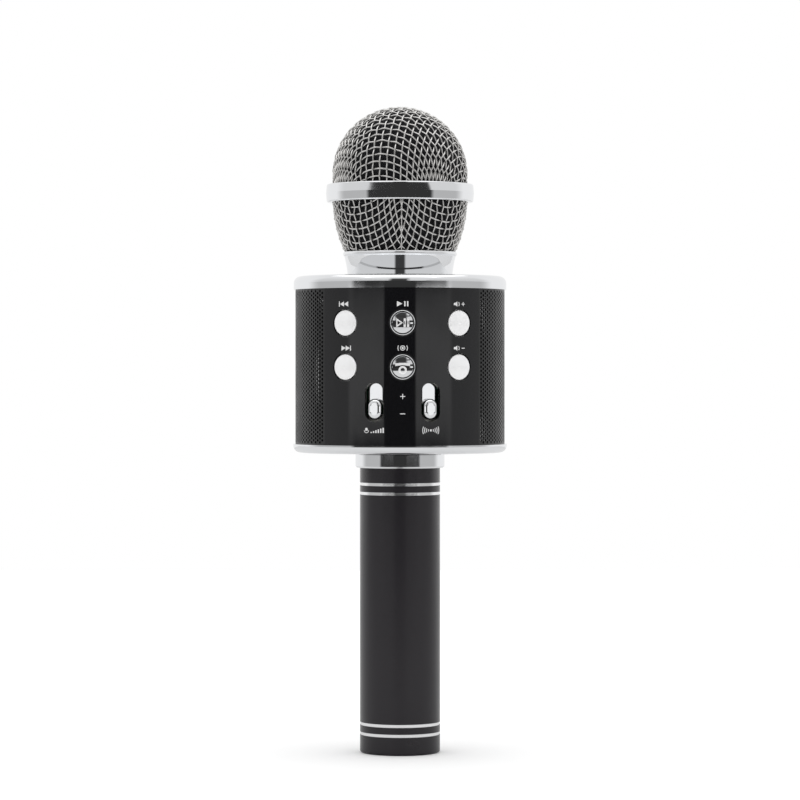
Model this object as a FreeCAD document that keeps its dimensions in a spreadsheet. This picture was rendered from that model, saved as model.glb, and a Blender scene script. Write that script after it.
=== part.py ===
"""Hand-held karaoke microphone with a built-in speaker drum, as separate pieces.

Millimetres, +Z up, the front panel faces -Y and the origin is the middle of the handle's foot.
An azimuth is an angle about +Z, in degrees, counted from the front towards +X.
"""
import FreeCAD, Part
import math
import os
import re

import Sketcher
from FreeCAD import Vector

# ---------------------------------------------------------------- driving dimensions
SIZES = {
    # handle
    "handle_length": 108.0,
    "handle_radius": 15.2,
    "handle_wall": 1.6,
    "handle_edge": 1.0,
    "band_width": 1.1,
    "band_depth": 0.12,
    "band_low_first": 6.9,
    "band_low_second": 10.6,
    "band_high_first": 5.6,
    "band_high_second": 9.1,
    "end_cap_recess": 0.5,
    "end_cap_floor": 2.2,
    "end_cap_skirt": 7.0,
    "end_cap_wall": 1.5,
    # battery and what holds it
    "cell_radius": 9.2,
    "cell_length": 65.0,
    "cell_nub_radius": 2.8,
    "cell_nub_height": 1.5,
    "cradle_foot": 12.0,
    "cradle_wall": 2.0,
    "cradle_mouth": 5.0,
    "spring_length": 8.0,
    "spring_reach": 5.0,
    "spring_width": 6.0,
    "spring_wall": 0.4,
    "contact_radius": 6.0,
    "contact_thickness": 0.8,
    # neck between handle and drum
    "neck_ring_height": 5.0,
    "neck_ring_radius": 16.9,
    "neck_ring_edge": 0.6,
    "adapter_depth": 10.0,
    "adapter_bore": 10.5,
    "adapter_flange_radius": 22.0,
    "adapter_flange": 2.0,
    # drum
    "drum_radius": 40.0,
    "panel_height": 58.3,
    "panel_wall": 2.4,
    "panel_half_angle": 45.6,
    "panel_joint": 0.1,
    "grille_wall": 0.8,
    "grille_inset": 0.35,
    "chassis_gap": 0.3,
    "chassis_floor": 2.4,
    "post_depth": 4.0,
    "post_angle": 6.0,
    "baffle_wall": 1.6,
    "baffle_reach": 9.0,
    "bottom_cover_depth": 4.0,
    "bottom_flare": 0.5,
    "top_cover_depth": 5.1,
    "top_flare": 0.3,
    "cover_round": 2.6,
    "cover_dish": 0.8,
    "cover_wall": 1.2,
    "top_wall": 1.8,
    # speakers, one to each side
    "speaker_radius": 20.0,
    "speaker_rim": 1.5,
    "speaker_flange": 1.6,
    "speaker_basket": 9.0,
    "magnet_radius": 12.0,
    "magnet_depth": 6.0,
    "cone_depth": 5.0,
    "cone_wall": 0.5,
    "dust_cap_radius": 5.0,
    "dust_cap_rise": 0.8,
    # keys and the curved board behind them
    "key_angle": 32.0,
    "key_upper": 45.3,
    "key_lower": 29.0,
    "key_radius": 4.65,
    "key_gap": 0.55,
    "key_proud": 0.5,
    "key_crown": 0.8,
    "key_rim_width": 0.7,
    "key_rim_height": 0.45,
    "key_flange_lap": 0.8,
    "key_flange": 1.0,
    "key_flange_back": 0.7,
    "key_travel": 0.3,
    "key_stem_radius": 1.5,
    "board_wall": 1.2,
    "board_depth": 7.4,
    "board_half_angle": 41.0,
    "carrier_wall": 1.4,
    "switch_width": 6.0,
    "switch_depth": 3.5,
    "plunger_radius": 1.75,
    "plunger_seat": 0.8,
    "plunger_rise": 0.6,
    # slide controls below the keys
    "slider_angle": 15.1,
    "slot_foot": 8.7,
    "slot_side_gap": 0.8,
    "slider_travel": 5.0,
    "knob_width": 5.6,
    "knob_height": 7.8,
    "slot_end_gap": 0.9,
    "knob_proud": 0.2,
    "knob_round": 1.6,
    "shutter_width": 4.7,
    "shutter_reach": 9.5,
    "shutter_wall": 0.8,
    "slide_body_width": 7.0,
    "slide_body_length": 22.0,
    "slide_body_depth": 4.3,
    "lever_width": 1.6,
    "lever_length": 1.2,
    "lever_seat": 1.5,
    # rear panel
    "main_board_depth": 12.0,
    "main_board_wall": 1.6,
    "main_board_half_width": 19.0,
    "board_margin": 3.0,
    "power_height": 43.0,
    "power_travel": 3.0,
    "power_knob_width": 4.0,
    "power_knob_height": 5.0,
    "power_knob_proud": 0.2,
    "power_body_width": 9.0,
    "power_body_height": 14.0,
    "power_body_depth": 6.0,
    "jack_height": 30.0,
    "jack_bore": 1.8,
    "jack_nose_radius": 3.0,
    "jack_nose_set": 1.0,
    "jack_body_width": 7.0,
    "usb_height": 20.5,
    "usb_width": 7.6,
    "usb_thickness": 2.8,
    "usb_wall": 0.35,
    "card_height": 12.0,
    "card_width": 14.0,
    "card_thickness": 2.0,
    "card_slit": 0.9,
    "socket_recess": 1.2,
    # neck between drum and head
    "collar_height": 9.4,
    "collar_foot_radius": 19.8,
    "collar_neck_radius": 21.1,
    "collar_bead": 0.9,
    "collar_bead_curve": 1.08,
    "collar_curve": 40.0,
    "collar_bore": 12.8,
    "collar_spigot_radius": 15.0,
    "collar_ledge": 3.2,
    "collar_seat": 5.8,
    "nut_height": 3.5,
    "nut_radius": 18.6,
    # head
    "head_radius": 25.7,
    "lower_grille_height": 18.7,
    "lower_grille_curve": 50.5,
    "lower_grille_foot_radius": 19.3,
    "mesh_wall": 1.4,
    "head_ring_height": 6.8,
    "head_ring_wall": 2.1,
    "head_ring_ridge": 0.25,
    "head_ring_edge": 0.6,
    "head_ring_lip": 2.3,
    "dome_straight": 3.8,
    "foam_gap": 0.3,
    "foam_bore": 15.0,
    # capsule
    "holder_lap": 2.0,
    "holder_foot": 2.0,
    "holder_bore": 2.0,
    "holder_column_radius": 8.0,
    "holder_column": 13.0,
    "holder_cup_radius": 14.3,
    "holder_cup": 9.0,
    "holder_cup_floor": 2.0,
    "capsule_radius": 12.6,
    "capsule_height": 13.0,
    "capsule_round": 2.0,
    "capsule_headroom": 1.0,
    # fasteners and leads
    "screw_radius": 1.0,
    "screw_head_radius": 1.9,
    "screw_head": 1.3,
    "screw_length": 4.0,
    "adapter_screw_circle": 18.0,
    "mount_width": 6.0,
    "mount_height": 7.0,
    "mount_depth": 5.0,
    "mount_spread": 14.0,
    "cover_screw_radius": 1.3,
    "cover_screw_length": 4.6,
    "cover_screw_circle": 29.0,
    "lead_radius": 0.7,
    "lead_spread": 3.0,
    "lead_bend": 6.0,
    "battery_lead_level": 10.0,
    "capsule_lead_level": 15.0,
    "speaker_lead_inset": 5.9,
    "slip_fit": 0.05,
    "rim_gap": 0.15,
    "free_gap": 0.3,
    "overshoot": 1.0,
}

# levels up the axis, each worked out from the pieces below it
RING_FOOT = "handle_length"
COVER_FOOT = f"({RING_FOOT} + neck_ring_height)"
PANEL_FOOT = f"({COVER_FOOT} + bottom_cover_depth)"
PANEL_HEAD = f"({PANEL_FOOT} + panel_height)"
COLLAR_FOOT = f"({PANEL_HEAD} + top_cover_depth)"
COLLAR_RIM = f"({COLLAR_FOOT} + collar_height)"
HEAD_RING_FOOT = f"({COLLAR_RIM} + lower_grille_height)"
HEAD_RING_HEAD = f"({HEAD_RING_FOOT} + head_ring_height)"
DOME_CENTRE = f"({HEAD_RING_HEAD} + dome_straight)"
CHASSIS_FOOT = f"({COVER_FOOT} + cover_dish + cover_wall)"
CHASSIS_FLOOR = f"({CHASSIS_FOOT} + chassis_floor)"
CHASSIS_CEILING = f"({PANEL_HEAD} - chassis_floor)"
DRUM_MIDDLE = f"({PANEL_FOOT} + panel_height / 2)"

# radii that several pieces share
HANDLE_BORE = "(handle_radius - handle_wall)"
PANEL_INSIDE = "(drum_radius - panel_wall)"
CHASSIS_RADIUS = f"({PANEL_INSIDE} - chassis_gap)"
RIM_INSIDE = f"({CHASSIS_RADIUS} + slip_fit)"
BOARD_FACE = f"({PANEL_INSIDE} - board_depth)"
KEY_BACK = f"({PANEL_INSIDE} - key_flange_back - key_flange)"
BAFFLE_FACE = f"({CHASSIS_RADIUS} - baffle_reach + baffle_wall / 2)"
MAIN_BOARD_FACE = f"({PANEL_INSIDE} - main_board_depth + main_board_wall)"
MAIN_BOARD_BACK = f"({MAIN_BOARD_FACE} - main_board_wall)"
MESH_INSIDE = "(head_radius - mesh_wall)"

doc = FreeCAD.newDocument("karaoke_microphone")
sheet = doc.addObject("Spreadsheet::Sheet", "Dims")
pieces = {}


# ---------------------------------------------------------------- building blocks
def fill_sheet():
    """Write every driving dimension into the sheet as a number with an alias."""
    for row, (alias, number) in enumerate(SIZES.items(), start=1):
        sheet.set(f"A{row}", alias)
        sheet.set(f"B{row}", str(number))
        sheet.setAlias(f"B{row}", alias)
    doc.recompute()


def bound(formula):
    """Return a formula with every driving dimension written as a cell of the sheet."""
    return re.sub(r"[a-z_]+", lambda word: f"Dims.{word[0]}" if word[0] in SIZES else word[0], formula)


def value(formula):
    """Return what a formula comes to with the sheet's present numbers."""
    return float(sheet.evalExpression(bound(formula)))


def upright(x="0", y="0", height="0"):
    """Return the placement formula of a piece that stands upright at a point."""
    return f"placement(vector({x}; {y}; {height}); rotation(0; 0; 0))"


def aimed(azimuth, height="0", across="0", outward="0", up="0"):
    """Return the placement formula of a piece whose own +Z points out along an azimuth.

    Its own +X then runs level round the drum and its own +Y runs up.
    """
    turn = f"({azimuth}) * 1deg"
    x = f"({across}) * cos({turn}) + ({outward}) * sin({turn})"
    y = f"({across}) * sin({turn}) - ({outward}) * cos({turn})"
    return f"placement(vector({x}; {y}; {height} + {up}); rotation({turn}; 0; 90))"


def place(item, placement):
    """Bind an object's placement to a formula."""
    item.setExpression("Placement", bound(placement))
    return item


def keep(label, item):
    """Name an object and count it among the pieces that are written out."""
    item.Label = label
    pieces[label] = item
    return item


def new_body(label, placement=None):
    """Start a PartDesign body."""
    body = doc.addObject("PartDesign::Body", label)
    if placement:
        place(body, placement)
    return body


def new_sketch(body, plane, offset=None):
    """Attach a sketch to one of the body's own origin planes, moved by an offset formula."""
    sketch = body.newObject("Sketcher::SketchObject", f"{body.Name}_sketch")
    origin_plane = [item for item in body.Origin.OriginFeatures if item.Role == plane][0]
    sketch.AttachmentSupport = [(origin_plane, "")]
    sketch.MapMode = "FlatFace"
    if offset:
        sketch.setExpression("AttachmentOffset", bound(offset))
    return sketch


def pin(sketch, geometry, vertex, across, up):
    """Bind one point of a sketch to two formulas."""
    for kind, formula, axis in (("DistanceX", across, -2), ("DistanceY", up, -1)):
        if formula == "0":
            sketch.addConstraint(Sketcher.Constraint("PointOnObject", geometry, vertex, axis))
            continue
        number = sketch.addConstraint(
            Sketcher.Constraint(kind, -1, 1, geometry, vertex, value(formula)))
        sketch.setExpression(f"Constraints[{number}]", bound(formula))


def arc_through(start, end, radius, side):
    """Return the short arc between two points; side +1 bulges to the right of the walk."""
    chord = end - start
    half = chord.Length / 2
    across = Vector(chord.y, -chord.x, 0).normalize()
    rise = radius - math.sqrt(radius**2 - half**2)
    return Part.Arc(start, (start + end) / 2 + across * rise * side, end)


def outline(sketch, corners):
    """Draw a closed outline.

    A corner is (across, up), or (across, up, radius, side) where an arc of that radius leads to it.
    """
    points = [Vector(value(corner[0]), value(corner[1]), 0) for corner in corners]
    first = sketch.GeometryCount
    total = len(corners)
    for index, corner in enumerate(corners):
        start = points[index - 1]
        end = points[index]
        if len(corner) == 4:
            sketch.addGeometry(arc_through(start, end, value(corner[2]), corner[3]))
        else:
            sketch.addGeometry(Part.LineSegment(start, end))
    for index, corner in enumerate(corners):
        here = first + index
        after = first + (index + 1) % total
        flipped = len(corner) == 4 and corner[3] < 0
        next_flipped = len(corners[(index + 1) % total]) == 4 and corners[(index + 1) % total][3] < 0
        end_vertex = 1 if flipped else 2
        start_vertex = 2 if next_flipped else 1
        sketch.addConstraint(Sketcher.Constraint("Coincident", here, end_vertex, after, start_vertex))
        pin(sketch, here, end_vertex, corner[0], corner[1])
        if len(corner) == 4:
            number = sketch.addConstraint(Sketcher.Constraint("Radius", here, value(corner[2])))
            sketch.setExpression(f"Constraints[{number}]", bound(corner[2]))
    return sketch


def rectangle(sketch, left, right, low, high):
    """Draw a rectangle between four formulas."""
    return outline(sketch, [(left, low), (right, low), (right, high), (left, high)])


def circle(sketch, across, up, radius):
    """Draw a circle whose centre and radius are formulas."""
    number = sketch.addGeometry(
        Part.Circle(Vector(value(across), value(up), 0), Vector(0, 0, 1), value(radius)))
    pin(sketch, number, 3, across, up)
    tie = sketch.addConstraint(Sketcher.Constraint("Radius", number, value(radius)))
    sketch.setExpression(f"Constraints[{tie}]", bound(radius))
    return sketch


def crown(radius, rise):
    """Return the radius formula of an arc from a circle's edge to a point that far above its middle."""
    return f"(({radius}) * ({radius}) + ({rise}) * ({rise})) / (2 * ({rise}))"


def stadium(sketch, half_width, low, high):
    """Draw an upright slot shape with round ends; low and high are the centres of the ends."""
    left = f"-({half_width})"
    return outline(sketch, [(half_width, low, half_width, 1), (half_width, high),
                            ("0", f"{high} + {half_width}", half_width, 1),
                            (left, high, half_width, 1), (left, low),
                            ("0", f"{low} - {half_width}", half_width, 1)])


def revolve(body, sketch, angle=None, kind="PartDesign::Revolution"):
    """Turn a sketch about the body's upright axis, all the way or evenly to both sides."""
    feature = body.newObject(kind, f"{body.Name}_turn")
    feature.Profile = sketch
    feature.ReferenceAxis = (sketch, ["V_Axis"])
    if angle:
        feature.Midplane = True
        feature.setExpression("Angle", bound(angle))
    else:
        feature.Angle = 360
    sketch.Visibility = False
    return feature


def extrude(body, sketch, length, kind="PartDesign::Pad"):
    """Pad or pocket a sketch by a formula's length."""
    feature = body.newObject(kind, f"{body.Name}_{kind[12:].lower()}")
    feature.Profile = sketch
    feature.setExpression("Length", bound(length))
    return feature


def turned(label, corners, placement=None):
    """Make a body by turning a half outline (radius, height) about the upright axis."""
    body = new_body(label, placement)
    revolve(body, outline(new_sketch(body, "XZ_Plane"), corners))
    return body


def add_sector(body, inner, outer, low, high, azimuth, angle):
    """Add part of an upright ring to a body: so many degrees, centred on an azimuth."""
    turn = f"placement(vector(0; 0; 0); rotation(0; ({azimuth}) - 90; 0))"
    sketch = new_sketch(body, "XZ_Plane", turn)
    return revolve(body, rectangle(sketch, inner, outer, low, high), angle)


def add_block(body, left, right, front, rear, low, high):
    """Add an upright block to a body, given its six faces."""
    sketch = new_sketch(body, "XY_Plane", f"placement(vector(0; 0; {low}); rotation(0; 0; 0))")
    return extrude(body, rectangle(sketch, left, right, front, rear), f"({high}) - ({low})")


def cylinder(label, radius, length, placement):
    """Make a cylinder along its own +Z."""
    item = doc.addObject("Part::Cylinder", label)
    item.setExpression("Radius", bound(radius))
    item.setExpression("Height", bound(length))
    return place(item, placement)


def box(label, width, height, depth, placement):
    """Make a box; width runs along its own X, height along Y and depth along Z."""
    item = doc.addObject("Part::Box", label)
    item.setExpression("Length", bound(width))
    item.setExpression("Width", bound(height))
    item.setExpression("Height", bound(depth))
    return place(item, placement)


def aimed_box(label, azimuth, width, height, depth, level, outward):
    """Make a box centred on an azimuth and a level, its back a distance out from the axis."""
    placement = aimed(azimuth, level, f"-({width}) / 2", outward, f"-({height}) / 2")
    return box(label, width, height, depth, placement)


def group(label, items):
    """Gather separate solids into one object."""
    item = doc.addObject("Part::Compound", label)
    item.Links = items
    return item


def cut(label, base, tools):
    """Cut tools out of a base."""
    item = doc.addObject("Part::Cut", label)
    item.Base = base
    item.Tool = tools[0] if len(tools) == 1 else group(f"{label}_cutters", tools)
    return item


def fuse(label, items):
    """Join overlapping or touching solids into one."""
    item = doc.addObject("Part::MultiFuse", label)
    item.Shapes = items
    item.Refine = True
    return item


def screw(label, placement, radius, length):
    """Make a pan-head screw that points down its own -Z, the head's underside at zero."""
    return turned(label, [("0", f"-({length})"), (radius, f"-({length})"), (radius, "0"),
                          ("screw_head_radius", "0"), ("screw_head_radius", "screw_head / 2"),
                          ("0", "screw_head", crown("screw_head_radius", "screw_head / 2"), 1)],
                  placement)


# ---------------------------------------------------------------- handle
def make_handle_tube():
    """Aluminium tube with two bright turned bands near each end."""
    body = turned("handle_tube", [
        (HANDLE_BORE, "0"), ("handle_radius - handle_edge", "0"),
        ("handle_radius", "handle_edge", "handle_edge", 1),
        ("handle_radius", "handle_length"), (HANDLE_BORE, "handle_length")])
    bands = new_sketch(body, "XZ_Plane")
    for foot in ("band_low_first", "band_low_second",
                 "(handle_length - band_high_first - band_width)",
                 "(handle_length - band_high_second - band_width)"):
        rectangle(bands, "handle_radius - band_depth", "handle_radius + band_depth",
                  foot, f"{foot} + band_width")
    revolve(body, bands, kind="PartDesign::Groove")
    keep("handle_tube", body)


def make_end_cap():
    """Plug pressed into the foot of the handle, set back from the rim it stands on."""
    radius = f"({HANDLE_BORE} - slip_fit)"
    floor = "(end_cap_recess + end_cap_floor)"
    keep("end_cap", turned("end_cap", [
        ("0", "end_cap_recess"), (radius, "end_cap_recess"), (radius, f"{floor} + end_cap_skirt"),
        (f"{radius} - end_cap_wall", f"{floor} + end_cap_skirt"),
        (f"{radius} - end_cap_wall", floor), ("0", floor)]))


CELL_FOOT = "(cradle_foot + cradle_wall + spring_length)"
CONTACT_FOOT = f"({CELL_FOOT} + cell_length + cell_nub_height)"
CRADLE_TOP = f"({CONTACT_FOOT} + contact_thickness + cradle_wall)"


def make_battery():
    """Rechargeable cell, its open-sided cradle, the spring under it and the contact over it."""
    cradle_radius = f"({HANDLE_BORE} - free_gap)"
    blank = cylinder("cradle_blank", cradle_radius, f"{CRADLE_TOP} - cradle_foot",
                     upright(height="cradle_foot"))
    bed = cylinder("cradle_bed", "cell_radius + slip_fit",
                   f"{CRADLE_TOP} - cradle_foot - 2 * cradle_wall",
                   upright(height="cradle_foot + cradle_wall"))
    mouth = box("cradle_mouth", "2 * handle_radius", "handle_radius",
                f"{CRADLE_TOP} - cradle_foot - 2 * cradle_wall",
                upright("-handle_radius", "-handle_radius - cradle_mouth",
                        "cradle_foot + cradle_wall"))
    lead_way = box("cradle_lead_way", "2 * lead_spread + 4 * lead_radius", "cradle_wall + lead_radius",
                   "2 * cradle_wall + contact_thickness",
                   upright("-lead_spread - 2 * lead_radius", "contact_radius + lead_radius",
                           f"{CRADLE_TOP} - cradle_wall - contact_thickness"))
    keep("battery_cradle", cut("battery_cradle", blank, [bed, mouth, lead_way]))
    nub_foot = f"({CELL_FOOT} + cell_length)"
    keep("battery_cell", turned("battery_cell", [
        ("0", CELL_FOOT), ("cell_radius", CELL_FOOT), ("cell_radius", nub_foot),
        ("cell_nub_radius", nub_foot), ("cell_nub_radius", f"{nub_foot} + cell_nub_height"),
        ("0", f"{nub_foot} + cell_nub_height")]))
    keep("battery_contact", cylinder("battery_contact", "contact_radius", "contact_thickness",
                                     upright(height=CONTACT_FOOT)))
    make_battery_spring()


def make_battery_spring():
    """Leaf spring, one strip folded into a Z, that presses the cell against its contact."""
    body = new_body("battery_spring", upright(height="cradle_foot + cradle_wall"))
    side = new_sketch(body, "XZ_Plane", upright(height="-spring_width / 2"))
    wall = "spring_wall"
    top = "spring_length"
    fold = "(spring_reach - 3 * spring_wall / 2)"
    outline(side, [
        ("-spring_reach", "0"), ("spring_reach", "0"), ("spring_reach", f"2 * {wall}"),
        (f"-{fold}", f"{top} - {wall}"), ("spring_reach", f"{top} - {wall}"), ("spring_reach", top),
        ("-spring_reach", top), ("-spring_reach", f"{top} - 2 * {wall}"), (fold, wall),
        ("-spring_reach", wall)])
    extrude(body, side, "spring_width")
    keep("battery_spring", body)


# ---------------------------------------------------------------- lower neck
def make_lower_neck():
    """Chrome ring on the handle, and the adapter that ties handle, ring, cover and chassis."""
    keep("lower_neck_ring", turned("lower_neck_ring", [
        (HANDLE_BORE, RING_FOOT), ("neck_ring_radius - neck_ring_edge", RING_FOOT),
        ("neck_ring_radius", f"{RING_FOOT} + neck_ring_edge"), ("neck_ring_radius", COVER_FOOT),
        (HANDLE_BORE, COVER_FOOT)]))
    spigot = f"({HANDLE_BORE} - slip_fit)"
    foot = "(handle_length - adapter_depth)"
    blank = turned("adapter_blank", [
        ("adapter_bore", foot), (spigot, foot), (spigot, CHASSIS_FLOOR),
        ("adapter_flange_radius", CHASSIS_FLOOR),
        ("adapter_flange_radius", f"{CHASSIS_FLOOR} + adapter_flange"),
        ("adapter_bore", f"{CHASSIS_FLOOR} + adapter_flange")])
    holes = [cylinder("adapter_hole", "screw_radius", "2 * adapter_flange",
                      upright(x, y, f"{CHASSIS_FLOOR} - adapter_flange / 2"))
             for x, y in ADAPTER_SCREWS]
    keep("neck_adapter", cut("neck_adapter", blank, holes))


# ---------------------------------------------------------------- drum shells
def make_bottom_cover():
    """Chrome pan under the drum, dished a little, with a rounded edge and a rim for the panels."""
    edge = "(drum_radius + bottom_flare)"
    turn = f"({COVER_FOOT} + cover_dish)"
    keep("bottom_cover", turned("bottom_cover", [
        (HANDLE_BORE, COVER_FOOT), (f"{edge} - cover_round", turn),
        (edge, f"{turn} + cover_round", "cover_round", 1), (edge, PANEL_FOOT),
        (RIM_INSIDE, PANEL_FOOT), (RIM_INSIDE, CHASSIS_FOOT), (HANDLE_BORE, CHASSIS_FOOT)]))


def make_top_cover():
    """Chrome lid over the drum, with a hub that the neck collar clamps and four screw bosses."""
    edge = "(drum_radius + top_flare)"
    roof = f"({COLLAR_FOOT} - top_wall)"
    hub = "(collar_spigot_radius + slip_fit)"
    shell = turned("top_cover_shell", [
        (RIM_INSIDE, PANEL_HEAD), (edge, PANEL_HEAD), (edge, f"{COLLAR_FOOT} - cover_round"),
        (f"{edge} - cover_round", COLLAR_FOOT, "cover_round", 1), (hub, COLLAR_FOOT),
        (hub, PANEL_HEAD), ("nut_radius", PANEL_HEAD), ("nut_radius", roof), (RIM_INSIDE, roof)])
    bosses = []
    holes = []
    for x, y in LID_SCREWS:
        bosses.append(cylinder("top_boss", "3 * cover_screw_radius", "top_cover_depth - top_wall / 2",
                               upright(x, y, PANEL_HEAD)))
        holes.append(cylinder("top_boss_hole", "cover_screw_radius",
                              "cover_screw_length - chassis_floor", upright(x, y, PANEL_HEAD)))
    keep("top_cover", cut("top_cover", fuse("top_cover_blank", [shell] + bosses), holes))


def make_top_cover_screws():
    """Four screws up through the chassis ceiling into the lid's bosses."""
    screws = []
    for x, y in LID_SCREWS:
        spot = f"placement(vector({x}; {y}; {CHASSIS_CEILING}); rotation(0; 0; 180))"
        screws.append(screw("top_cover_screw", spot, "cover_screw_radius", "cover_screw_length"))
    keep("top_cover_screws", group("top_cover_screws", screws))


def ring_of(radius, count, start):
    """Return the (x, y) formulas of points spaced evenly round a circle."""
    turns = [f"({start + 360 / count * number}) * 1deg" for number in range(count)]
    return [(f"{radius} * cos({turn})", f"{radius} * sin({turn})") for turn in turns]


LID_SCREWS = ring_of("cover_screw_circle", 4, 45)
ADAPTER_SCREWS = ring_of("adapter_screw_circle", 3, 90)
MOUNT_ROWS = (f"({CHASSIS_FLOOR} + mount_height / 2)", f"({CHASSIS_CEILING} - mount_height / 2)")


def make_chassis():
    """Inner frame: floor, ceiling, posts, speaker baffles, key carrier and main board mounts."""
    body = new_body("drum_chassis")
    floor = new_sketch(body, "XY_Plane", upright(height=CHASSIS_FOOT))
    circle(floor, "0", "0", CHASSIS_RADIUS)
    circle(floor, "0", "0", HANDLE_BORE)
    for x, y in ADAPTER_SCREWS:
        circle(floor, x, y, "screw_radius")
    extrude(body, floor, "chassis_floor")
    low = f"{CHASSIS_FLOOR} - chassis_floor / 4"
    high = f"{CHASSIS_CEILING} + chassis_floor / 4"
    for turn in ("panel_half_angle", "-panel_half_angle",
                 "180 - panel_half_angle", "180 + panel_half_angle"):
        add_sector(body, f"{CHASSIS_RADIUS} - post_depth", CHASSIS_RADIUS, low, high, turn,
                   "post_angle")
    add_sector(body, f"{BOARD_FACE} - board_wall - carrier_wall", f"{BOARD_FACE} - board_wall",
               low, high, "0", "2 * board_half_angle")
    reach = "(speaker_radius + speaker_rim)"
    add_block(body, f"{BAFFLE_FACE} - baffle_wall", BAFFLE_FACE, f"-{reach}", reach, low, high)
    add_block(body, f"-{BAFFLE_FACE}", f"baffle_wall - {BAFFLE_FACE}", f"-{reach}", reach, low, high)
    ceiling = new_sketch(body, "XY_Plane", upright(height=CHASSIS_CEILING))
    circle(ceiling, "0", "0", CHASSIS_RADIUS)
    circle(ceiling, "0", "0", "collar_spigot_radius + slip_fit")
    for x, y in LID_SCREWS:
        circle(ceiling, x, y, "cover_screw_radius")
    extrude(body, ceiling, "chassis_floor")
    rear = MAIN_BOARD_BACK
    for spread in ("-mount_spread", "mount_spread"):
        sides = (f"{spread} - mount_width / 2", f"{spread} + mount_width / 2")
        add_block(body, *sides, f"{rear} - mount_depth", rear, low, f"{CHASSIS_FLOOR} + mount_height")
        add_block(body, *sides, f"{rear} - mount_depth", rear, f"{CHASSIS_CEILING} - mount_height", high)
    beside = f"placement(vector(0; 0; -{CHASSIS_RADIUS}); rotation(0; 0; 0))"
    openings = new_sketch(body, "YZ_Plane", beside)
    circle(openings, "0", DRUM_MIDDLE, "speaker_radius - speaker_rim")
    extrude(body, openings, f"2 * {CHASSIS_RADIUS}", "PartDesign::Pocket").Reversed = True
    mounts = new_sketch(body, "XZ_Plane", f"placement(vector(0; 0; -{rear}); rotation(0; 0; 0))")
    for row in MOUNT_ROWS:
        circle(mounts, "-mount_spread", row, "screw_radius")
        circle(mounts, "mount_spread", row, "screw_radius")
    extrude(body, mounts, "screw_length - main_board_wall", "PartDesign::Pocket").Reversed = True
    wells = [cylinder(f"{name}_well", f"{KEY_HOLE_RADIUS} + key_flange_lap + free_gap", "post_depth",
                      aimed(azimuth, f"{PANEL_FOOT} + {level}", "0", f"{KEY_BACK} - key_travel - free_gap"))
             for name, (azimuth, level) in KEYS.items()]
    keep("drum_chassis", cut("drum_chassis", body, wells))


def make_inner_screws():
    """Small pan-head screws inside the drum, all alike: three in the adapter, four in the board."""
    screws = []
    for x, y in ADAPTER_SCREWS:
        spot = upright(x, y, f"{CHASSIS_FLOOR} + adapter_flange")
        screws.append(screw("adapter_screw", spot, "screw_radius", "screw_length"))
    for row in MOUNT_ROWS:
        for spread in ("-mount_spread", "mount_spread"):
            spot = f"placement(vector({spread}; {MAIN_BOARD_FACE}; {row}); rotation(0; 0; -90))"
            screws.append(screw("board_screw", spot, "screw_radius", "screw_length"))
    keep("inner_screws", group("inner_screws", screws))


# ---------------------------------------------------------------- panels and grilles
def drum_sector(label, outer, wall, foot, head, angle, azimuth):
    """Make an upright curved shell of the drum, so many degrees round, centred on an azimuth."""
    body = new_body(label)
    add_sector(body, f"{outer} - {wall}", outer, foot, head, azimuth, angle)
    return body


def slot_cutter(label, azimuth, half_width, low, high):
    """Make a round-ended slot cutter that points out through the drum wall."""
    body = new_body(label, aimed(azimuth, "0", "0", f"{PANEL_INSIDE} - panel_wall"))
    extrude(body, stadium(new_sketch(body, "XY_Plane"), half_width, low, high), "3 * panel_wall")
    return body


KEYS = {
    "previous": ("-key_angle", "key_upper"),
    "scan": ("0", "key_upper"),
    "volume_up": ("key_angle", "key_upper"),
    "next": ("-key_angle", "key_lower"),
    "record": ("0", "key_lower"),
    "volume_down": ("key_angle", "key_lower"),
}
SLIDERS = {"mic_volume": "-slider_angle", "effect": "slider_angle"}
SLOT_LOW = f"({PANEL_FOOT} + slot_foot)"
SLOT_HIGH = f"({SLOT_LOW} + knob_height + slider_travel + 2 * slot_end_gap)"
SLOT_HALF = "(knob_width / 2 + slot_side_gap)"
KEY_HOLE_RADIUS = "(key_radius + key_gap)"
KNOB_LEVEL = f"({SLOT_LOW} + slot_end_gap + knob_height / 2)"


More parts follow.
